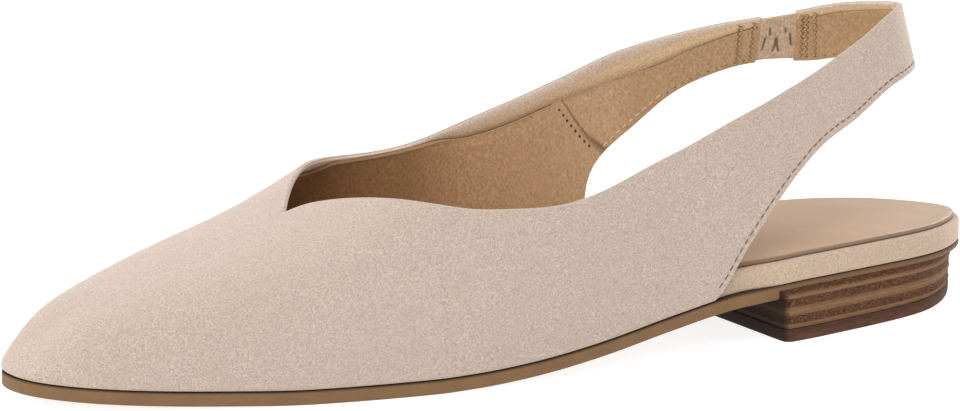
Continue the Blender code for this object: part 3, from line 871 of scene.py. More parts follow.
def closed_sheet(outer, inner, faces, bulge):
    """Points and faces of a closed sheet between two surfaces. The faces of its rim come last.

    bulge: how far the rim rounds out at each point, where 1 is a half circle.
    """
    count = len(outer)
    used = {(a, b) for face in faces for a, b in zip(face, face[1:] + face[:1])}
    edges = [(a, b) for a, b in used if (b, a) not in used]
    out = np.zeros_like(outer)
    across = outer - inner
    for a, b in edges:
        way = np.cross(outer[b] - outer[a], across[a] + across[b])
        out[a] += way
        out[b] += way
    length = np.linalg.norm(out, axis=1)
    out = out / np.where(length > 0, length, 1)[:, None]
    extra = {}
    added = []
    for i in sorted({i for edge in edges for i in edge}):
        width = np.linalg.norm(across[i])
        for k in range(1, RIM_STEPS):
            angle = np.pi * k / RIM_STEPS
            share = (1 - np.cos(angle)) / 2
            extra[(i, k)] = 2 * count + len(added)
            added.append(outer[i] - across[i] * share + out[i] * np.sin(angle) * width / 2 * bulge[i])
        extra[(i, 0)] = i
        extra[(i, RIM_STEPS)] = i + count
    strip = []
    for a, b in edges:
        for k in range(RIM_STEPS):
            strip.append([extra[(b, k)], extra[(a, k)], extra[(a, k + 1)], extra[(b, k + 1)]])
    back = [[i + count for i in face[::-1]] for face in faces]
    return np.concatenate([outer, inner, added]), faces + back + strip


def make_object(name, points, faces, materials, values=None, face_slots=None):
    """A smooth mesh object. values: named numbers for its first points, and 0 for the rest."""
    mesh = bpy.data.meshes.new(name)
    mesh.from_pydata(placed(points).tolist(), [], [[int(i) for i in face] for face in faces])
    mesh.validate()
    for material in materials:
        mesh.materials.append(material)
    if face_slots is not None and len(mesh.polygons) == len(face_slots):
        mesh.polygons.foreach_set("material_index", np.array(face_slots, np.int32))
    for key, numbers in (values or {}).items():
        every = np.zeros(len(points), np.float32)
        every[: len(numbers)] = numbers
        mesh.attributes.new(key, "FLOAT", "POINT").data.foreach_set("value", every)
    mesh.shade_smooth()
    obj = bpy.data.objects.new(name, mesh)
    bpy.context.scene.collection.objects.link(obj)
    return obj


def dress(obj, node):
    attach(obj, "root")
    if node:
        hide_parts(node)
    return obj


# Materials

class Nodes:
    """Builds a Principled material node by node."""

    def __init__(self, name, **fixed):
        self.material = bpy.data.materials.new(name)
        self.material.use_nodes = True
        self.tree = self.material.node_tree
        self.shader = self.tree.nodes["Principled BSDF"]
        self.fill(self.shader, fixed)
        self.place = self.tree.nodes.new("ShaderNodeTexCoord").outputs["Object"]

    def put(self, socket, value):
        """Links a socket to an output, or sets it to a number or a colour."""
        if isinstance(value, bpy.types.NodeSocket):
            self.tree.links.new(value, socket)
        elif socket.type == "RGBA" and len(value) == 3:
            socket.default_value = (*value, 1)
        else:
            socket.default_value = value

    def fill(self, node, inputs):
        """Fills inputs by name, with an underscore for a space."""
        for key, value in inputs.items():
            self.put(node.inputs[key.replace("_", " ")], value)

    def output(self, kind, name, **inputs):
        """The named output of a new node with these inputs."""
        node = self.tree.nodes.new("ShaderNode" + kind)
        self.fill(node, inputs)
        return node.outputs[name]

    def noise(self, scale, detail=2, roughness=0.5, stretch=None, distortion=0):
        place = self.output("Mapping", "Vector", Scale=stretch, Vector=self.place) if stretch else self.place
        settings = {"Scale": scale, "Detail": detail, "Roughness": roughness, "Distortion": distortion}
        return self.output("TexNoise", "Fac", **settings, Vector=place)

    def value(self, name):
        node = self.tree.nodes.new("ShaderNodeAttribute")
        node.attribute_name = name
        return node.outputs["Fac"]

    def ramp(self, fac, *stops):
        node = self.tree.nodes.new("ShaderNodeValToRGB")
        ramp = node.color_ramp
        while len(ramp.elements) < len(stops):
            ramp.elements.new(0.5)
        for element, (at, colour) in zip(ramp.elements, stops):
            element.position = at
            element.color = (*colour, 1)
        self.put(node.inputs["Fac"], fac)
        return node.outputs["Color"]

    def speckle(self, fac, colour, low, high, edges=(0.3, 0.7)):
        """One colour, from low to high times its brightness."""
        return self.ramp(fac, (edges[0], tone(colour, low)), (edges[1], tone(colour, high)))

    def grey(self, fac, low, high, at_low=0.0, at_high=1.0):
        return self.output(
            "MapRange", "Result", From_Min=low, From_Max=high, To_Min=at_low, To_Max=at_high, Value=fac
        )

    def mix(self, fac, a, b, blend="MIX"):
        node = self.tree.nodes.new("ShaderNodeMix")
        node.data_type = "RGBA"
        node.blend_type = blend
        for socket, value in ((node.inputs["Factor"], fac), (node.inputs[6], a), (node.inputs[7], b)):
            self.put(socket, value)
        return node.outputs[2]

    def over(self, base, colour, fac, *edges):
        """The base with a colour over it, where fac passes from the first to the second of the edges."""
        return self.mix(self.grey(fac, *edges), base, colour)

    def product(self, a, b):
        node = self.tree.nodes.new("ShaderNodeMath")
        node.operation = "MULTIPLY"
        self.put(node.inputs[0], a)
        self.put(node.inputs[1], b)
        return node.outputs[0]

    def bump(self, height, distance, strength=1.0, onto=None):
        below = {} if onto is None else {"Normal": onto}
        return self.output("Bump", "Normal", Distance=distance, Strength=strength, Height=height, **below)

    def finish(self, colour, normal=None, roughness=None):
        self.put(self.shader.inputs["Base Color"], colour)
        for key, out in (("Normal", normal), ("Roughness", roughness)):
            if out is not None:
                self.put(self.shader.inputs[key], out)
        return self.material


SUEDE = (0.400, 0.321, 0.267)
TURNED_SUEDE = (0.55, 0.395, 0.245)
RAND_SUEDE = (0.412, 0.310, 0.230)
STACK_DARK = (0.088, 0.035, 0.014)
STACK_RIDGE = (0.205, 0.108, 0.053)
STACK_FOOT = (0.10, 0.045, 0.026)
PAINTED_BREAST_SHADOW = (0.016, 0.009, 0.006)
TOP_PIECE_DARK = (0.080, 0.033, 0.018)
RUBBER_TAN = (0.172, 0.097, 0.046)
SOCK_TAN = (0.314, 0.192, 0.107)
ELASTIC_TINT = (0.45, 0.325, 0.225)
LINING = (0.412, 0.250, 0.135)
FLOOR_GREY = (0.45, 0.45, 0.45)
FLOOR_GLOW = 0.85

# What the lining's colour is multiplied by, from the quarters to the toe: painted light near the quarters
# and painted shade that deepens inside the vamp towards the toe.
LINING_PAINTED_SHADE = (
    (0.0, (0.91, 0.97, 1.0)),
    (0.08, (1.05, 1.14, 1.24)),
    (0.50, (0.99, 0.975, 0.95)),
    (0.66, (0.62, 0.54, 0.44)),
    (1.0, (0.46, 0.33, 0.20)),
)
THREADS = {
    "dark": (0.16, 0.095, 0.055),
    "pale": (0.62, 0.45, 0.30),
    # Painted shade inside the needle holes by the lining seam.
    "hole_shade": (0.07, 0.038, 0.018),
    "tack": (0.40, 0.26, 0.13),
    # Painted shade inside the needle holes beside the bar tacks.
    "pierced_shade": (0.19, 0.11, 0.055),
}


def tone(colour, factor, warm=0.0):
    return (colour[0] * factor * (1 + warm), colour[1] * factor, colour[2] * factor * (1 - warm))


def suede_material(name="suede_nap", colour=SUEDE):
    """Fine napped suede: a soft speckle, a few brushed patches, and a dull velvety surface."""
    n = Nodes(
        name, Roughness=0.95, Specular_IOR_Level=0.12, Sheen_Weight=0.25, Sheen_Roughness=0.45,
        Sheen_Tint=(1.0, 0.93, 0.86),
    )
    fine = n.noise(2300, 3, 0.7)
    patch = n.noise(160, 4, 0.6, distortion=0.4)
    broad = n.noise(22, 2, 0.5)
    edges = (0.32, 0.68)
    base = n.ramp(fine, (edges[0], tone(colour, 0.66, 0.01)), (edges[1], tone(colour, 1.34)))
    base = n.over(base, tone(colour, 0.90, 0.015), patch, 0.35, 0.7, 0, 0.4)
    base = n.over(base, tone(colour, 1.05, 0.0), broad, 0.35, 0.7, 0, 0.2)
    base = n.over(base, n.speckle(fine, TURNED_SUEDE, 0.72, 1.24, edges), n.value("turned"), 0.08, 0.50)
    # Painted highlight: where pale is set, the inner topline edge and the turned band at the front of the
    # inner side are lightened.
    base = n.mix(n.value("pale"), base, n.speckle(fine, colour, 1.35, 2.0, edges))
    # Painted shade: a dark line along the turned band's lower edge, standing in for the shadow in the gap to
    # the lining.
    base = n.over(base, tone(TURNED_SUEDE, 0.18, 0.1), n.value("seam"), 0.0, 1.0, 0.0, 0.9)
    nap = n.bump(n.noise(2600, 2, 0.6), 0.00014, 0.6)
    return n.finish(base, n.bump(n.noise(420, 3, 0.6), 0.00018, 0.35, nap))


def suede_edge_material():
    n = Nodes("suede_edge", Roughness=0.95, Specular_IOR_Level=0.1, Sheen_Weight=0.2)
    base = n.speckle(n.noise(1800, 3, 0.6), SUEDE, 0.9, 1.12)
    return n.finish(base, n.bump(n.noise(2600, 2), 0.00015, 0.6))


def lining_material():
    """Golden tan microfibre: fine mottled fibre, with painted shade that deepens towards the toe and along
    the seam between the linings.
    """
    n = Nodes(
        "microfibre_lining", Roughness=0.85, Specular_IOR_Level=0.2, Sheen_Weight=0.2, Sheen_Roughness=0.5,
        Sheen_Tint=(1.0, 0.88, 0.7),
    )
    fine = n.noise(1600, 4, 0.65, stretch=(1, 1, 0.75))
    patch = n.noise(60, 3, 0.6, distortion=0.5)
    base = n.speckle(fine, LINING, 0.62, 1.32)
    base = n.over(base, tone(LINING, 1.10, 0.03), patch, 0.35, 0.68, 0, 0.45)
    # Painted light near the quarters and painted shade deepening inside the vamp, by position along the
    # shoe.
    reach = n.grey(n.output("SeparateXYZ", "X", Vector=n.place), 0.04, 0.14)
    base = n.mix(1.0, base, n.ramp(reach, *LINING_PAINTED_SHADE), "MULTIPLY")
    base = n.over(base, tone(TURNED_SUEDE, 0.8), n.value("lip"), 0.0, 1.0, 0.0, 0.55)
    # Painted shade along the seam between the two linings, where the front lining's edge shades the one
    # behind.
    base = n.over(base, tone(LINING, 0.20, 0.15), n.value("seam"), 0.0, 0.9, 0.0, 0.85)
    nap = n.bump(n.noise(1500, 3, 0.6), 0.00016, 0.5)
    return n.finish(base, n.bump(n.noise(160, 3, 0.6), 0.0003, 0.35, nap))


def thread_material(name, colour):
    n = Nodes(name, Roughness=0.7, Specular_IOR_Level=0.3)
    base = n.speckle(n.noise(2500, 1), colour, 0.8, 1.15)
    return n.finish(base, n.bump(n.noise(4000, 1), 0.00008, 0.6))


def rubber_material():
    """Smooth tan outsole: matt rubber with faint blotches, and a painted shadow line along its top edge
    under the suede.
    """
    n = Nodes("outsole_tan", Roughness=0.65, Specular_IOR_Level=0.15)
    base = n.speckle(n.noise(120, 4, 0.6), RUBBER_TAN, 0.90, 1.08)
    base = n.over(base, tone(RUBBER_TAN, 0.8), n.noise(900, 3), 0.45, 0.75, 0, 0.25)
    # Painted shadow: a dark line along the sole's top edge, where the suede tucks in.
    base = n.over(base, tone(RUBBER_TAN, 0.25), n.value("from_top"), 0.0001, 0.0006, 0.85, 0.0)
    base = n.over(base, STACK_DARK, n.value("seat"), 0.0, 1.0, 0.0, 0.35)
    normal = n.bump(n.noise(700, 3), 0.00008, 0.35)
    return n.finish(base, normal, n.grey(n.noise(300, 3), 0.3, 0.7, 0.48, 0.64))


def stack_material():
    """Stacked lifts: rough dark bands between lighter ridges, streaked along the layers, with painted shadow
    on the breast face.
    """
    n = Nodes("stacked_lifts", Roughness=0.7, Specular_IOR_Level=0.15)
    streak = n.noise(260, 4, 0.7, stretch=(1, 1, 9), distortion=0.3)
    grain = n.noise(1400, 3, 0.65, stretch=(1, 1, 2))
    rough = n.ramp(
        grain, (0.34, tone(STACK_DARK, 0.35)), (0.52, tone(STACK_DARK, 1.1)), (0.70, tone(STACK_RIDGE, 0.85))
    )
    smooth = n.speckle(streak, STACK_RIDGE, 0.72, 1.15, (0.25, 0.75))
    base = n.mix(n.value("shade"), smooth, rough)
    base = n.over(base, STACK_FOOT, n.value("level"), 0.0, 0.25, 0.25, 0.0)
    # Painted shadow on the breast face.
    base = n.over(base, PAINTED_BREAST_SHADOW, n.value("front"), 0.0, 1.0, 0.0, 0.85)
    pits = n.bump(n.product(grain, n.value("band")), 0.0006, 0.9)
    return n.finish(base, n.bump(streak, 0.00015, 0.5, pits))


def top_piece_material():
    n = Nodes("heel_top_rubber", Roughness=0.7, Specular_IOR_Level=0.15)
    base = n.speckle(n.noise(240, 4, 0.65, stretch=(1, 1, 5)), TOP_PIECE_DARK, 0.6, 1.4)
    base = n.over(base, tone(TOP_PIECE_DARK, 0.4), n.value("level"), 0.45, 0.75, 0.0, 0.5)
    # Painted shadow on the breast face.
    base = n.over(base, PAINTED_BREAST_SHADOW, n.value("front"), 0.0, 1.0, 0.0, 0.85)
    return n.finish(base, n.bump(n.noise(900, 3), 0.00018, 0.5))


def sock_material():
    """Padded sock leather: smooth, faint pores, with a painted shadow line darkening its rim."""
    n = Nodes("sock_leather", Roughness=0.5, Specular_IOR_Level=0.45, Coat_Weight=0.08, Coat_Roughness=0.35)
    base = n.speckle(n.noise(35, 3, 0.5), SOCK_TAN, 0.95, 1.05)
    pores = n.output("TexVoronoi", "Distance", Scale=1300, Vector=n.place)
    base = n.over(base, tone(SOCK_TAN, 0.7), pores, 0.0, 0.3, 0.15, 0.0)
    # Painted shadow: the sock is darkened within a millimetre of its rim.
    base = n.over(base, tone(SOCK_TAN, 0.40, 0.03), n.value("from_rim"), 0.0, 0.0010, 0.85, 0.0)
    normal = n.bump(n.noise(70, 3), 0.0004, 0.25, n.bump(pores, 0.00006, 0.4))
    return n.finish(base, normal, n.grey(n.noise(90, 3), 0.3, 0.7, 0.44, 0.56))


def elastic_material():
    """Gathered elastic with a dull suede-like face, with painted shade in its folds."""
    n = Nodes("elastic_face", Roughness=0.9, Specular_IOR_Level=0.15, Sheen_Weight=0.2)
    base = n.speckle(n.noise(1300, 3, 0.6), ELASTIC_TINT, 0.72, 1.2)
    # Painted shade in the folds of the gathers.
    base = n.over(base, tone(ELASTIC_TINT, 0.25, 0.1), n.value("fold"), -0.95, -0.25, 0.9, 0.0)
    return n.finish(base, n.bump(n.noise(1600, 2), 0.00015, 0.5))


def floor_material():
    n = Nodes(
        "plain_floor", Roughness=0.9, Specular_IOR_Level=0.05, Emission_Strength=FLOOR_GLOW,
        Emission_Color=(1, 1, 1),
    )
    return n.finish(FLOOR_GREY)


# Upper

def upper_patches():
    strap_end, inner_end = gore_rows()
    inner_columns = round(STRAP_COLUMNS * (CORNER_ROW + inner_end) / (CORNER_ROW - strap_end))
    patches = []
    for side, end, columns in ((1, strap_end, STRAP_COLUMNS), (-1, inner_end, inner_columns)):
        patches += [
            quarter_patch(straight_rows(end, side * CORNER_ROW, columns)),
            quarter_patch(straight_rows(side * CORNER_ROW, side * THROAT_ROW, QUARTER_COLUMNS)),
            toe_patch(side),
        ]
    return patches


# Soft troughs and ridges of the suede. Each: share of the length, side, climb, half length and half
# height in millimetres, lean in degrees and depth in millimetres (below zero is a ridge).
CREASES = table(
    "share side climb long high lean depth",
    (0.60, 1, 0.30, 26, 7, 12, 0.35),
    (0.69, 1, 0.55, 18, 9, -20, -0.30),
    (0.47, 1, 0.22, 20, 6, 25, 0.30),
    (0.80, 1, 0.45, 16, 8, 5, -0.25),
    (0.56, -1, 0.50, 24, 8, 10, 0.35),
    (0.74, 1, 0.12, 24, 3, 0, 0.25),
    (0.40, 1, 0.60, 14, 7, 40, -0.25),
)


def crease_depth(points):
    """How far the creases push the face in at each point."""
    depth = np.zeros(len(points))
    for share, side, climb, long, high, lean, deep in zip(*CREASES.values()):
        gap = points - skin(share, climb, side)
        lean = np.radians(lean)
        along = gap[:, 0] * np.cos(lean) + gap[:, 2] * np.sin(lean)
        across = gap[:, 2] * np.cos(lean) - gap[:, 0] * np.sin(lean)
        same_side = gap[:, 1] * side > -CREASE_REACH
        spread = np.exp(-((along / (long * MM)) ** 2) - (across / (high * MM)) ** 2)
        depth += deep * MM * same_side * spread
    return depth


def bell(distance, width):
    """1 where the distance is 0, and soon less further away."""
    return np.exp(-((distance / width) ** 2))


def outer_fall(data, points):
    """How far the outer face lies in, at its round edges, the tuck, the groove and the creases."""
    low, top, _, _, free, on_toe = data.T
    fall = np.where(on_toe > 0.5, 0, round_over(top, EDGE_ROUND)) * OUTER_ROUND
    free_edge = round_over(low, EDGE_ROUND) * OUTER_ROUND
    free_edge = free_edge + bell(low - STITCH_INSET, GROOVE_WIDTH) * GROOVE_DEPTH
    fall = fall + np.where(free > 0.5, free_edge, round_over(low, TUCK) * TUCK_DEPTH)
    return fall + crease_depth(points) * ease(low / CREASE_FADE) * ease(top / CREASE_FADE)


def inner_depth(data):
    """How deep the shell's inner face lies: the turned band stands proud, and the lining fills the rest."""
    low, top, _, turned, free, on_toe = data.T
    on_band = top < turned - HAIR
    depth = np.where(on_band, WALL - HAIR, WALL - LINING_THICKNESS - 2 * HAIR)
    depth = depth - np.where(on_toe > 0.5, 0, round_over(top, EDGE_ROUND)) * INNER_TOP_ROUND
    return depth - np.where(free > 0.5, round_over(low, EDGE_ROUND), 0) * INNER_LOW_ROUND


def rolled(data):
    """How far the topline swells into the shoe where its turned band is broad, above a soft trough."""
    _, top, row, turned, _, _ = data.T
    row = np.abs(row)
    broad = ease((row - ROLL_START) / ROLL_FADE) * (1 - ease((row - ROLL_END) / ROLL_FADE))
    swell = ROLL_SWELL * bell(top - 0.5 * turned, 0.3 * turned)
    return broad * (swell - ROLL_TROUGH * bell(top - turned - 0.6 * MM, 1.0 * MM))


def make_upper_shell(suede, edge):
    """The suede wall, with its rim in the edge material. Its values colour the band turned over inside, with
    painted highlight near the inner topline and painted shade along the band's lower edge.
    """
    points, faces, data = joined_patches(upper_patches())
    normals = surface_normals(points, faces)
    outer = points + normals * (WALL - outer_fall(data, points))[:, None]
    inner = points + normals * (WALL - inner_depth(data) - rolled(data))[:, None]
    low, top, row, turned, free, _ = data.T
    on_sole = (free < 0.5) & (low < 0.01 * MM)
    every, closed = closed_sheet(outer, inner, faces, np.where(on_sole, 0.0, 0.7))
    slots = [0] * (2 * len(faces)) + [1] * (len(closed) - 2 * len(faces))
    front = ease((np.abs(row) - NARROW_START) / NARROW_FADE)
    # Painted highlight along the inner topline, and over the turned band at the front of the inner side.
    painted_lit_edge = 0.55 * (row < 0) * (1 - ease(top / (0.4 * turned)))
    inside = {
        "turned": np.clip(top / turned, 0, 1) * (1 - front),
        # Painted shade along the band's lower edge, strongest towards the throat.
        "seam": (np.abs(top - turned) < 0.1 * MM) * (0.35 + 0.65 * front),
        "pale": np.maximum((top < turned) * ease((-row - PAINTED_LIGHT_START) / PAINTED_LIGHT_FADE), painted_lit_edge),
    }
    values = {key: np.concatenate([np.zeros(len(points)), numbers]) for key, numbers in inside.items()}
    obj = make_object("upper_suede", every, closed, [suede, edge], values, slots)
    return dress(obj, "upper")


def make_lining_sheet(name, patches, material, lift=0.0):
    """A thin sheet of lining against the inside of the shell."""
    points, faces, data = joined_patches(patches)
    normals = surface_normals(points, faces)
    top = data[:, 1]
    row = np.abs(data[:, 2])
    wave = WAVE_HEIGHT * np.sin(points[:, 0] / WAVE_LENGTH) * bell(top - 2 * MM, 2 * MM)
    lip = ease((row - ROLL_END) / ROLL_FADE) * bell(top - 0.35 * MM, 0.3 * MM)
    shifted = data.copy()
    shifted[:, 1] = top + data[:, 3]
    outer = points + normals * LINING_THICKNESS
    inner = points - normals * (LINING_STEP + lift + wave + rolled(shifted) + LIP_HEIGHT * lip)[:, None]
    every, closed = closed_sheet(outer, inner, faces, np.full(len(points), 0.3))
    # Painted shade next to the seam between the linings.
    away = np.minimum(*(distance_to(seam_line(side), points) for side in (1, -1)))
    values = {"lip": np.tile(lip, 2), "seam": np.tile(1 - ease(away / SEAM_WIDTH), 2)}
    return dress(make_object(name, every, closed, [material], values), None)


def quarter_line(side, low_row, top_row):
    """A line on one quarter from a row at the lower edge to a row at the topline."""
    return rib_lines(side * np.linspace(low_row, top_row, RIB_SAMPLES + 1)[None, :])[0]


def seam_line(side):
    """Points along the seam between the two linings of one quarter."""
    return quarter_line(side, LINING_SEAM_LOW, LINING_SEAM_TOP)


def distance_to(line, points):
    """The distance from each point to the nearest point of a line."""
    gaps = np.linalg.norm(points[:, None, :] - line[None, :, :], axis=2)
    return gaps.min(axis=1)


def band_trim(rows):
    return turn_over(rows) + LINING_GAP


def low_edge_trim(rows):
    return np.where(np.abs(rows) < CORNER_ROW - 0.01, LINING_LOW_EDGE, 0)


def vamp_trim(ahead):
    return band_trim(THROAT_ROW) * (1 - ease(ahead / (3 * MM)))


def make_linings(material):
    strap_end, inner_end = gore_rows()
    seam = np.array([LINING_SEAM_LOW, LINING_SEAM_TOP])
    trims = low_edge_trim, band_trim
    front = []
    for side in (1, -1):
        corner = np.full(2, side * CORNER_ROW)
        throat = np.full(2, side * THROAT_ROW)
        front.append(quarter_patch(sheared_rows(side * seam, corner, 10), *trims))
        front.append(quarter_patch(sheared_rows(corner, throat, QUARTER_COLUMNS), *trims))
        front.append(toe_patch(side, vamp_trim))
    make_lining_sheet("lining_front", front, material, 0.28 * MM)
    for name, end, side, columns in (
        ("lining_inner_strap", inner_end, -1, 60),
        ("lining_outer_strap", strap_end, 1, 110),
    ):
        rows = sheared_rows((end, end), side * (seam + LINING_OVERLAP), columns)
        make_lining_sheet(name, [quarter_patch(rows, *trims)], material)


# Stitches

def stitch_mesh(starts, ends, outward, radius, flat):
    """Short threads between pairs of points, each a smooth pill that lies along the surface."""
    points = []
    faces = []
    sides = THREAD_SIDES
    for a, b, up in zip(starts, ends, outward):
        way = b - a
        length = np.linalg.norm(way)
        way = way / length
        over = np.cross(way, up)
        over /= np.linalg.norm(over)
        up = np.cross(over, way)
        first = len(points)
        for i in range(THREAD_RINGS + 1):
            turn_at = np.pi * i / THREAD_RINGS
            along = length / 2 * (1 - np.cos(turn_at))
            size = radius * (np.sin(turn_at) ** 0.6 if 0 < i < THREAD_RINGS else THREAD_TIP)
            for j in range(sides):
                angle = 2 * np.pi * j / sides
                points.append(a + way * along + (over * np.cos(angle) + up * np.sin(angle) * flat) * size)
        for i in range(THREAD_RINGS):
            for j in range(sides):
                p = first + i * sides + j
                q = first + i * sides + (j + 1) % sides
                faces.append([p, q, q + sides, p + sides])
        faces.append([first + j for j in range(sides)][::-1])
        faces.append([first + THREAD_RINGS * sides + j for j in range(sides)])
    return np.array(points), faces


def make_threads(name, starts, ends, ups, radius, material, slot="suede", flat=0.7):
    points, faces = stitch_mesh(starts, ends, ups, radius, flat)
    return dress(make_object(name, points, faces, [material]), None)


def line_on_upper(rows, distance, depth):
    """A line at a distance from the upper's lower edge, at a depth behind its outer face."""
    lines = rib_lines(rows)
    runs = [run_along(line) for line in lines]

    def spots_at(reach):
        return np.array([read_line(reach, run, line) for run, line in zip(runs, lines)])

    spots = spots_at(distance)
    normal = np.cross(np.gradient(spots, axis=0), spots_at(distance + 0.4 * MM) - spots)
    normal /= np.linalg.norm(normal, axis=1)[:, None]
    outward = (spots - [LENGTH * 0.3, 0, 0]) * (0.2, 1, 0)
    normal = normal * np.where((normal * outward).sum(1) < 0, -1, 1)[:, None]
    return spots + normal * (WALL - depth), normal


def along_line(points, normals, pitch, share):
    """Starts, ends and normals of stitches at an even pitch along a line of points."""
    run = run_along(points)
    at = np.arange(pitch / 2, run[-1] - pitch / 2, pitch)
    half = pitch * share / 2
    return read_line(at - half, run, points), read_line(at + half, run, points), read_line(at, run, normals)


def make_zigzag(name, rows, material, depth, radius):
    """Bar tacks across a strap end: a column of short slanting stitches on the inner face for each row."""
    threads = []
    for row in rows:
        line, ahead = rib_lines(np.outer([row, row + 0.02], np.ones(RIB_SAMPLES + 1)))
        run = run_along(line)
        way = (ahead - line).mean(0)
        way /= np.linalg.norm(way)
        shares = TACK_START + TACK_SPAN * np.arange(TACK_COUNT + 1) / TACK_COUNT
        spots = read_line(run[-1] * shares, run, line)
        for k in range(TACK_COUNT):
            sway = way * TACK_SWAY * (-1) ** k
            normal = np.cross(way, spots[k + 1] - spots[k])
            normal /= np.linalg.norm(normal)
            if normal[1] > 0:
                normal = -normal
            lift = normal * (WALL - depth)
            threads.append((spots[k] - sway + lift, spots[k + 1] + sway + lift, -normal))
    return make_threads(name, *zip(*threads), radius, material, flat=0.8)


def make_tacks(tack, pierced_shade):
    """The bar tacks at both strap ends, and the needle holes beside them, whose dark colour is painted shade
    inside the holes.
    """
    strap_end, inner_end = gore_rows()
    inside = WALL + LINING_STEP + HAIR
    for name, material, ahead, radius in (
        ("tacks", tack, 0, TACK_RADIUS),
        ("tack_holes", pierced_shade, TACK_HOLE_AHEAD, TACK_HOLE_RADIUS),
    ):
        make_zigzag(name + "_outer_end", strap_end + OUTER_TACK_ROWS + ahead, material, inside, radius)
        make_zigzag(name + "_inner_end", inner_end - INNER_TACK_ROWS - ahead, material, inside, radius)


def make_stitching(dark, pale):
    strap_end, inner_end = gore_rows()
    outer = straight_rows(strap_end + 0.15, CORNER_ROW - 0.02, 160)
    inner = straight_rows(inner_end - 0.15, -CORNER_ROW + 0.02, 90)
    rear = straight_rows(-QUARTER_STITCH_ROW, -CORNER_ROW + 0.02, 50)
    strap = straight_rows(inner_end - 0.15, -QUARTER_STITCH_ROW, 70)
    groove = 0.16 * MM
    inside = WALL + LINING_STEP + 0.02 * MM
    # Each: name, rows, thread, distance from the edge, depth, pitch, radius, share of the pitch that shows.
    for name, rows, thread, inset, depth, pitch, radius, share in (
        ("stitches_outer_edge", outer, dark, STITCH_INSET, groove, STITCH_PITCH, 0.18 * MM, 0.66),
        ("stitches_inner_edge", inner, dark, STITCH_INSET, groove, STITCH_PITCH, 0.18 * MM, 0.66),
        ("stitches_inner_edge_inside", rear, pale, 2.0 * MM, inside + HAIR, 2.4 * MM, 0.20 * MM, 0.7),
        ("stitches_inner_strap_inside", strap, dark, 1.2 * MM, inside, 2.4 * MM, 0.14 * MM, 0.3),
        ("stitches_outer_edge_inside", outer, dark, 1.2 * MM, inside, 2.4 * MM, 0.14 * MM, 0.3),
    ):
        points, normals = line_on_upper(rows, inset, depth)
        make_threads(name, *along_line(points, normals, pitch, share), radius, thread)


def make_seam_holes(dark):
    """The row of needle holes just in front of the seam between the two linings, on both quarters, as dark
    pills whose colour is painted shade inside the holes.
    """
    threads = []
    for side in (1, -1):
        low = LINING_SEAM_LOW + HOLES_AHEAD_LOW
        top = LINING_SEAM_TOP + HOLES_AHEAD_TOP
        line = quarter_line(side, low, top)
        beside = quarter_line(side, low + 0.05, top + 0.05)
        normal = np.cross(np.gradient(line, axis=0), beside - line)
        normal /= np.linalg.norm(normal, axis=1)[:, None]
        normal *= np.where(normal[:, 1] * side < 0, -1, 1)[:, None]
        line = line - normal * (LINING_STEP + 0.30 * MM)
        run = run_along(line)
        for at in np.arange(HOLES_START, run[-1] - HOLES_END, HOLE_PITCH):
            ends = read_line(np.array([at, at + HOLE_LENGTH]), run, line)
            threads.append((*ends, -read_line(at, run, normal)))
    return make_threads("lining_seam_holes", *zip(*threads), HOLE_RADIUS, dark, "sock_leather", 0.5)


# Elastic

# Gathers pressed into the elastic. along: from the outer strap end. low, high: shares up it. lean:
# towards the top.
GORE_SLITS = table(
    "along low high lean",
    (0.10, 0.20, 0.50, 0.06),
    (0.27, 0.50, 0.66, 0.03),
    (0.42, 0.08, 0.42, 0.10),
    (0.60, 0.08, 0.42, -0.09),
    (0.68, 0.48, 0.70, 0.02),
    (0.86, 0.14, 0.46, -0.05),
)


def make_elastic(material):
    """The elastic between the strap ends, smooth above and gathered into three soft bulges below."""
    strap_end, inner_end = gore_rows()
    gap = 0.1 * CLEARANCE * (strap_end - inner_end) / GORE_LENGTH
    across = band(strap_end, inner_end, 1, 1)[0]
    trim = GORE_MARGIN / np.linalg.norm(across[1] - across[0])
    grid = band(strap_end - gap, inner_end + gap, ELASTIC_COLUMNS, ELASTIC_ROWS, trim)
    points, faces, first = joined([(grid, False)])
    axes = np.linspace(0, 1, ELASTIC_COLUMNS + 1), np.linspace(0, 1, ELASTIC_ROWS + 1)
    along, up = (share.reshape(-1)[first] for share in np.meshgrid(*axes, indexing="ij"))
    fold = np.zeros(len(points))
    for place, low, high, lean in zip(*GORE_SLITS.values()):
        middle = place + lean * (up - low) / (high - low)
        window = ease((up - low) / 0.10) * (1 - ease((up - high) / 0.12))
        fold -= window * bell(along - middle, SLIT_WIDTH)
    fold = np.maximum(fold, -1)
    normals = surface_normals(points, faces)
    middle = points + normals * WALL / 2
    swell = (0.62 + 0.5 * fold + 0.06 * np.sin(along * 70)) * MM
    half = normals * np.clip(swell, 0.12 * MM, None)[:, None]
    every, closed = closed_sheet(middle + half, middle - half, faces, np.full(len(points), 0.6))
    obj = make_object("gore_elastic", every, closed, [material], {"fold": np.tile(fold, 2)})
    return dress(obj, "elastic_gore")


# Sole, heel, board and sock


def ring_object(name, rings, materials, values=None):
    points, faces = ring_solid(rings, len(rings[0]) // 2)
    return make_object(name, points, faces, materials, values)


def rounded(radius, steps):
    """Distance from the face and inset of each step round an edge, starting on the face."""
    angles = np.linspace(0, np.pi / 2, steps + 1)
    return list(zip(radius * (1 - np.cos(angles)), radius * (1 - np.sin(angles))))


def fine_sole_ring(inset, rise=0.0, fall=None):
    """A ring of the outsole at a height above its lower face, or at a depth below its upper face."""
    plan = edge_loop(inset, FINE_STATIONS, with_breast=True)
    share = plan[:, 0] / LENGTH
    low = np.where(ahead_of_breast(plan) < 0, bed(share) - SEAT_LAYER, sole_bottom(share))
    return np.column_stack([plan, low + rise if fall is None else bed(share) - fall])


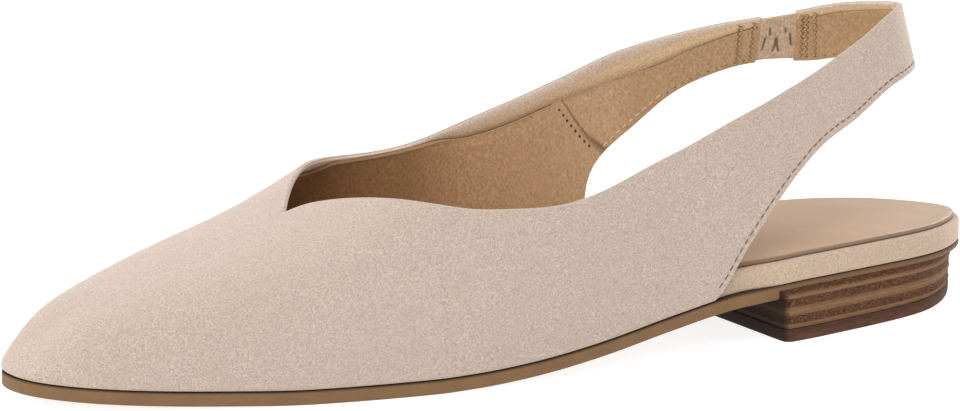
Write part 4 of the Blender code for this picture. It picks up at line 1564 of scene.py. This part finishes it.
def make_sole(material):
    rings = [fine_sole_ring(2.2 * MM)]
    from_top = [3 * MM]
    for rise, inset in rounded(0.7 * MM, 4):
        rings.append(fine_sole_ring(inset, rise))
        from_top.append(2.5 * MM)
    for fall, inset in rounded(0.45 * MM, 4)[::-1]:
        rings.append(fine_sole_ring(inset, fall=fall))
        from_top.append(fall)
    rings.append(fine_sole_ring(1.6 * MM, fall=0.0))
    from_top.append(0.0)
    ahead = ahead_of_breast(np.concatenate(rings)[:, :2])
    seat = 1 - ease((ahead + 0.1 * MM) / (0.6 * MM))
    values = {"from_top": np.repeat(from_top, len(rings[0])), "seat": seat}
    return dress(ring_object("outsole_rubber", rings, [material], values), "outsole")


# Colour of the stack from the top piece up. level: share of its height. dark: 1 on a rough dark layer.
STACK_SHADE = table(
    "level dark",
    (0.00, 0.0),
    (0.08, 0.0),
    (0.13, 1.0),
    (0.29, 1.0),
    (0.34, 0.0),
    (0.49, 0.0),
    (0.55, 1.0),
    (0.71, 1.0),
    (0.76, 0.0),
    (0.82, 0.0),
    (0.87, 1.0),
    (1.00, 1.0),
)


def fine_heel(name, node, material, levels, cuts, bottom, top, values, flare=lambda level: 0):
    """A part of the heel between two heights. cuts: how far each level lies in. values: for each level."""
    rings = []
    breast_shadows = []
    for level, cut in zip(levels, cuts):
        mean = bottom(HEEL_MIDDLE) + (top(HEEL_MIDDLE) - bottom(HEEL_MIDDLE)) * level
        inset = heel_inset(mean / HEEL_LIFT) + cut
        plan = heel_plan(inset, flare(level))
        ahead = plan[:, 0] + BREAST_TURN * plan[:, 1] - (HEEL_LENGTH + flare(level) - inset)
        # Painted shadow: a mask that is 1 on the breast face.
        breast_shadows.append(ease((ahead + 1.2 * MM) / (1.0 * MM)))
        share = plan[:, 0] / LENGTH
        rings.append(np.column_stack([plan, bottom(share) + (top(share) - bottom(share)) * level]))
    numbers = {key: np.repeat(line, len(rings[0])) for key, line in values.items()}
    numbers["front"] = np.concatenate(breast_shadows)
    return dress(ring_object(name, rings, [material], numbers), node)


def make_heel(stack, top_piece):
    levels = np.linspace(0, 1, STACK_LEVELS)
    cut = steady(levels, STACK["level"], STACK["cut"])
    shade = steady(levels, STACK_SHADE["level"], STACK_SHADE["dark"])
    fine_heel(
        "heel_stack", "heel_block", stack, levels, cut * STACK_CUT,
        lambda share: TOP_PIECE_THICKNESS + 2 * HAIR + 0 * share,
        lambda share: bed(share) - SEAT_LAYER - HAIR,
        {"level": levels, "band": cut, "shade": shade}, breast_flare,
    )
    levels = LIFT_EDGE["level"]
    fine_heel(
        "heel_top_lift", "heel_top_piece", top_piece, levels, LIFT_EDGE["inset"] * MM,
        lambda share: 0 * share, lambda share: TOP_PIECE_THICKNESS + 0 * share, {"level": levels},
    )


def make_rand(suede):
    """The suede-covered board: it shows as the rand round the seat, with both its edges rounded."""
    def ring(inset, height):
        return ring_at(edge_loop(lambda share: board_inset(share) + inset, FINE_STATIONS), height)

    rings = [
        ring(inset * 0.7, lambda share: bed(share) + SHEET_GAP + up) for up, inset in rounded(0.8 * MM, 5)
    ]
    rings += [
        ring(inset, lambda share: board_top(share) - down) for down, inset in rounded(1.1 * MM, 5)[::-1]
    ]
    rings.append(ring(2.5 * MM, board_top))
    return dress(ring_object("seat_rand", rings, [suede]), "insole_board")


def make_padded_sock(material):
    """The sock: a thin padded sheet with a rounded edge that rises towards its middle."""
    plan = edge_loop(lambda share: board_inset(share) + SOCK_MARGIN, FINE_STATIONS)
    thick = SOCK_THICKNESS + 0.15 * MM
    levels = [(draw, thick * height, away) for draw, height, away in zip(*SOCK_RIM.values())]
    levels += [(draw, thick + SOCK_DOME * 1.3 * ease(draw / 0.75), 4) for draw in SOCK_DRAWS]
    rings = []
    from_rim = []
    for draw, height, away in levels:
        inner = towards_middle(plan, draw)
        rings.append(ring_at(inner, lambda share: board_top(share) + SHEET_GAP + height))
        from_rim.append(away * MM)
    obj = ring_object("padded_sock", rings, [material], {"from_rim": np.repeat(from_rim, len(plan))})
    dress(obj, "insole")
    return obj


# Stage

FLOOR_HALF = 3.0
LIGHT_TARGET = (0.09, 0.0, 0.03)

# Each: name, place, width in metres and power in watts.
LIGHTS = (
    ("key_top", (0.25, 0.55, 1.1), 0.9, 5.9),
    ("side_left", (1.2, 0.6, 0.45), 0.7, 5.9),
    ("side_right", (-1.1, 0.6, 0.5), 0.7, 3.2),
    ("back_right", (-1.0, -0.7, 0.8), 0.7, 11.4),
    ("back_left", (1.0, -0.8, 0.8), 0.7, 10.0),
)
WORLD_STRENGTH = 0.74
CAMERA_AZIMUTH = 26.0
CAMERA_ELEVATION = 13.3
CAMERA_DISTANCE = 1.4
CAMERA_TARGET = (0.13339, -0.00639, 0.03396)
CAMERA_LENS = 210.6


def linked(name, data):
    """A new object in the scene."""
    obj = bpy.data.objects.new(name, data)
    bpy.context.scene.collection.objects.link(obj)
    return obj


def aim(obj, place, way):
    """Puts a light or a camera at a place and turns it to look along a direction."""
    obj.location = place
    obj.rotation_mode = "QUATERNION"
    obj.rotation_quaternion = way.to_track_quat("-Z", "Y")


def make_floor():
    mesh = bpy.data.meshes.new("floor")
    corners = [(x * FLOOR_HALF, y * FLOOR_HALF, 0) for x, y in ((-1, -1), (1, -1), (1, 1), (-1, 1))]
    mesh.from_pydata(corners, [], [(0, 1, 2, 3)])
    mesh.materials.append(floor_material())
    floor = linked("floor", mesh)


def make_light(name, place, width, power):
    data = bpy.data.lights.new(name, "AREA")
    data.shape = "RECTANGLE"
    data.size = width
    data.size_y = 0.9
    data.energy = power
    aim(linked(name, data), place, Vector(LIGHT_TARGET) - Vector(place))


def make_stage():
    make_floor()
    world = bpy.data.worlds.new("studio")
    world.use_nodes = True
    sky = world.node_tree.nodes["Background"].inputs
    sky["Color"].default_value = (1, 1, 1, 1)
    sky["Strength"].default_value = WORLD_STRENGTH
    bpy.context.scene.world = world
    for name, place, width, power in LIGHTS:
        make_light(name, place, width, power)


def make_camera():
    """The camera that was fitted to the photograph."""
    azimuth = np.radians(CAMERA_AZIMUTH)
    elevation = np.radians(CAMERA_ELEVATION)
    back = Vector((
        np.cos(elevation) * np.sin(azimuth),
        np.cos(elevation) * np.cos(azimuth),
        np.sin(elevation),
    ))
    target = Vector(placed([CAMERA_TARGET])[0])
    data = bpy.data.cameras.new("photo_camera")
    data.sensor_width = 36
    data.lens = CAMERA_LENS
    data.clip_start = 0.01
    data.clip_end = 20
    obj = linked("photo_camera", data)
    aim(obj, target + back * CAMERA_DISTANCE, -back)
    bpy.context.scene.camera = obj


def build():
    threads = {name: thread_material("thread_" + name, colour) for name, colour in THREADS.items()}
    make_upper_shell(suede_material(), suede_edge_material())
    make_linings(lining_material())
    make_stitching(threads["dark"], threads["pale"])
    make_seam_holes(threads["hole_shade"])
    make_tacks(threads["tack"], threads["pierced_shade"])
    make_elastic(elastic_material())
    make_sole(rubber_material())
    make_heel(stack_material(), top_piece_material())
    make_rand(suede_material("suede_rand", RAND_SUEDE))
    make_padded_sock(sock_material())


make_camera()
make_stage()
build()
bpy.context.scene.view_settings.view_transform = "Standard"
bpy.context.view_layer.update()
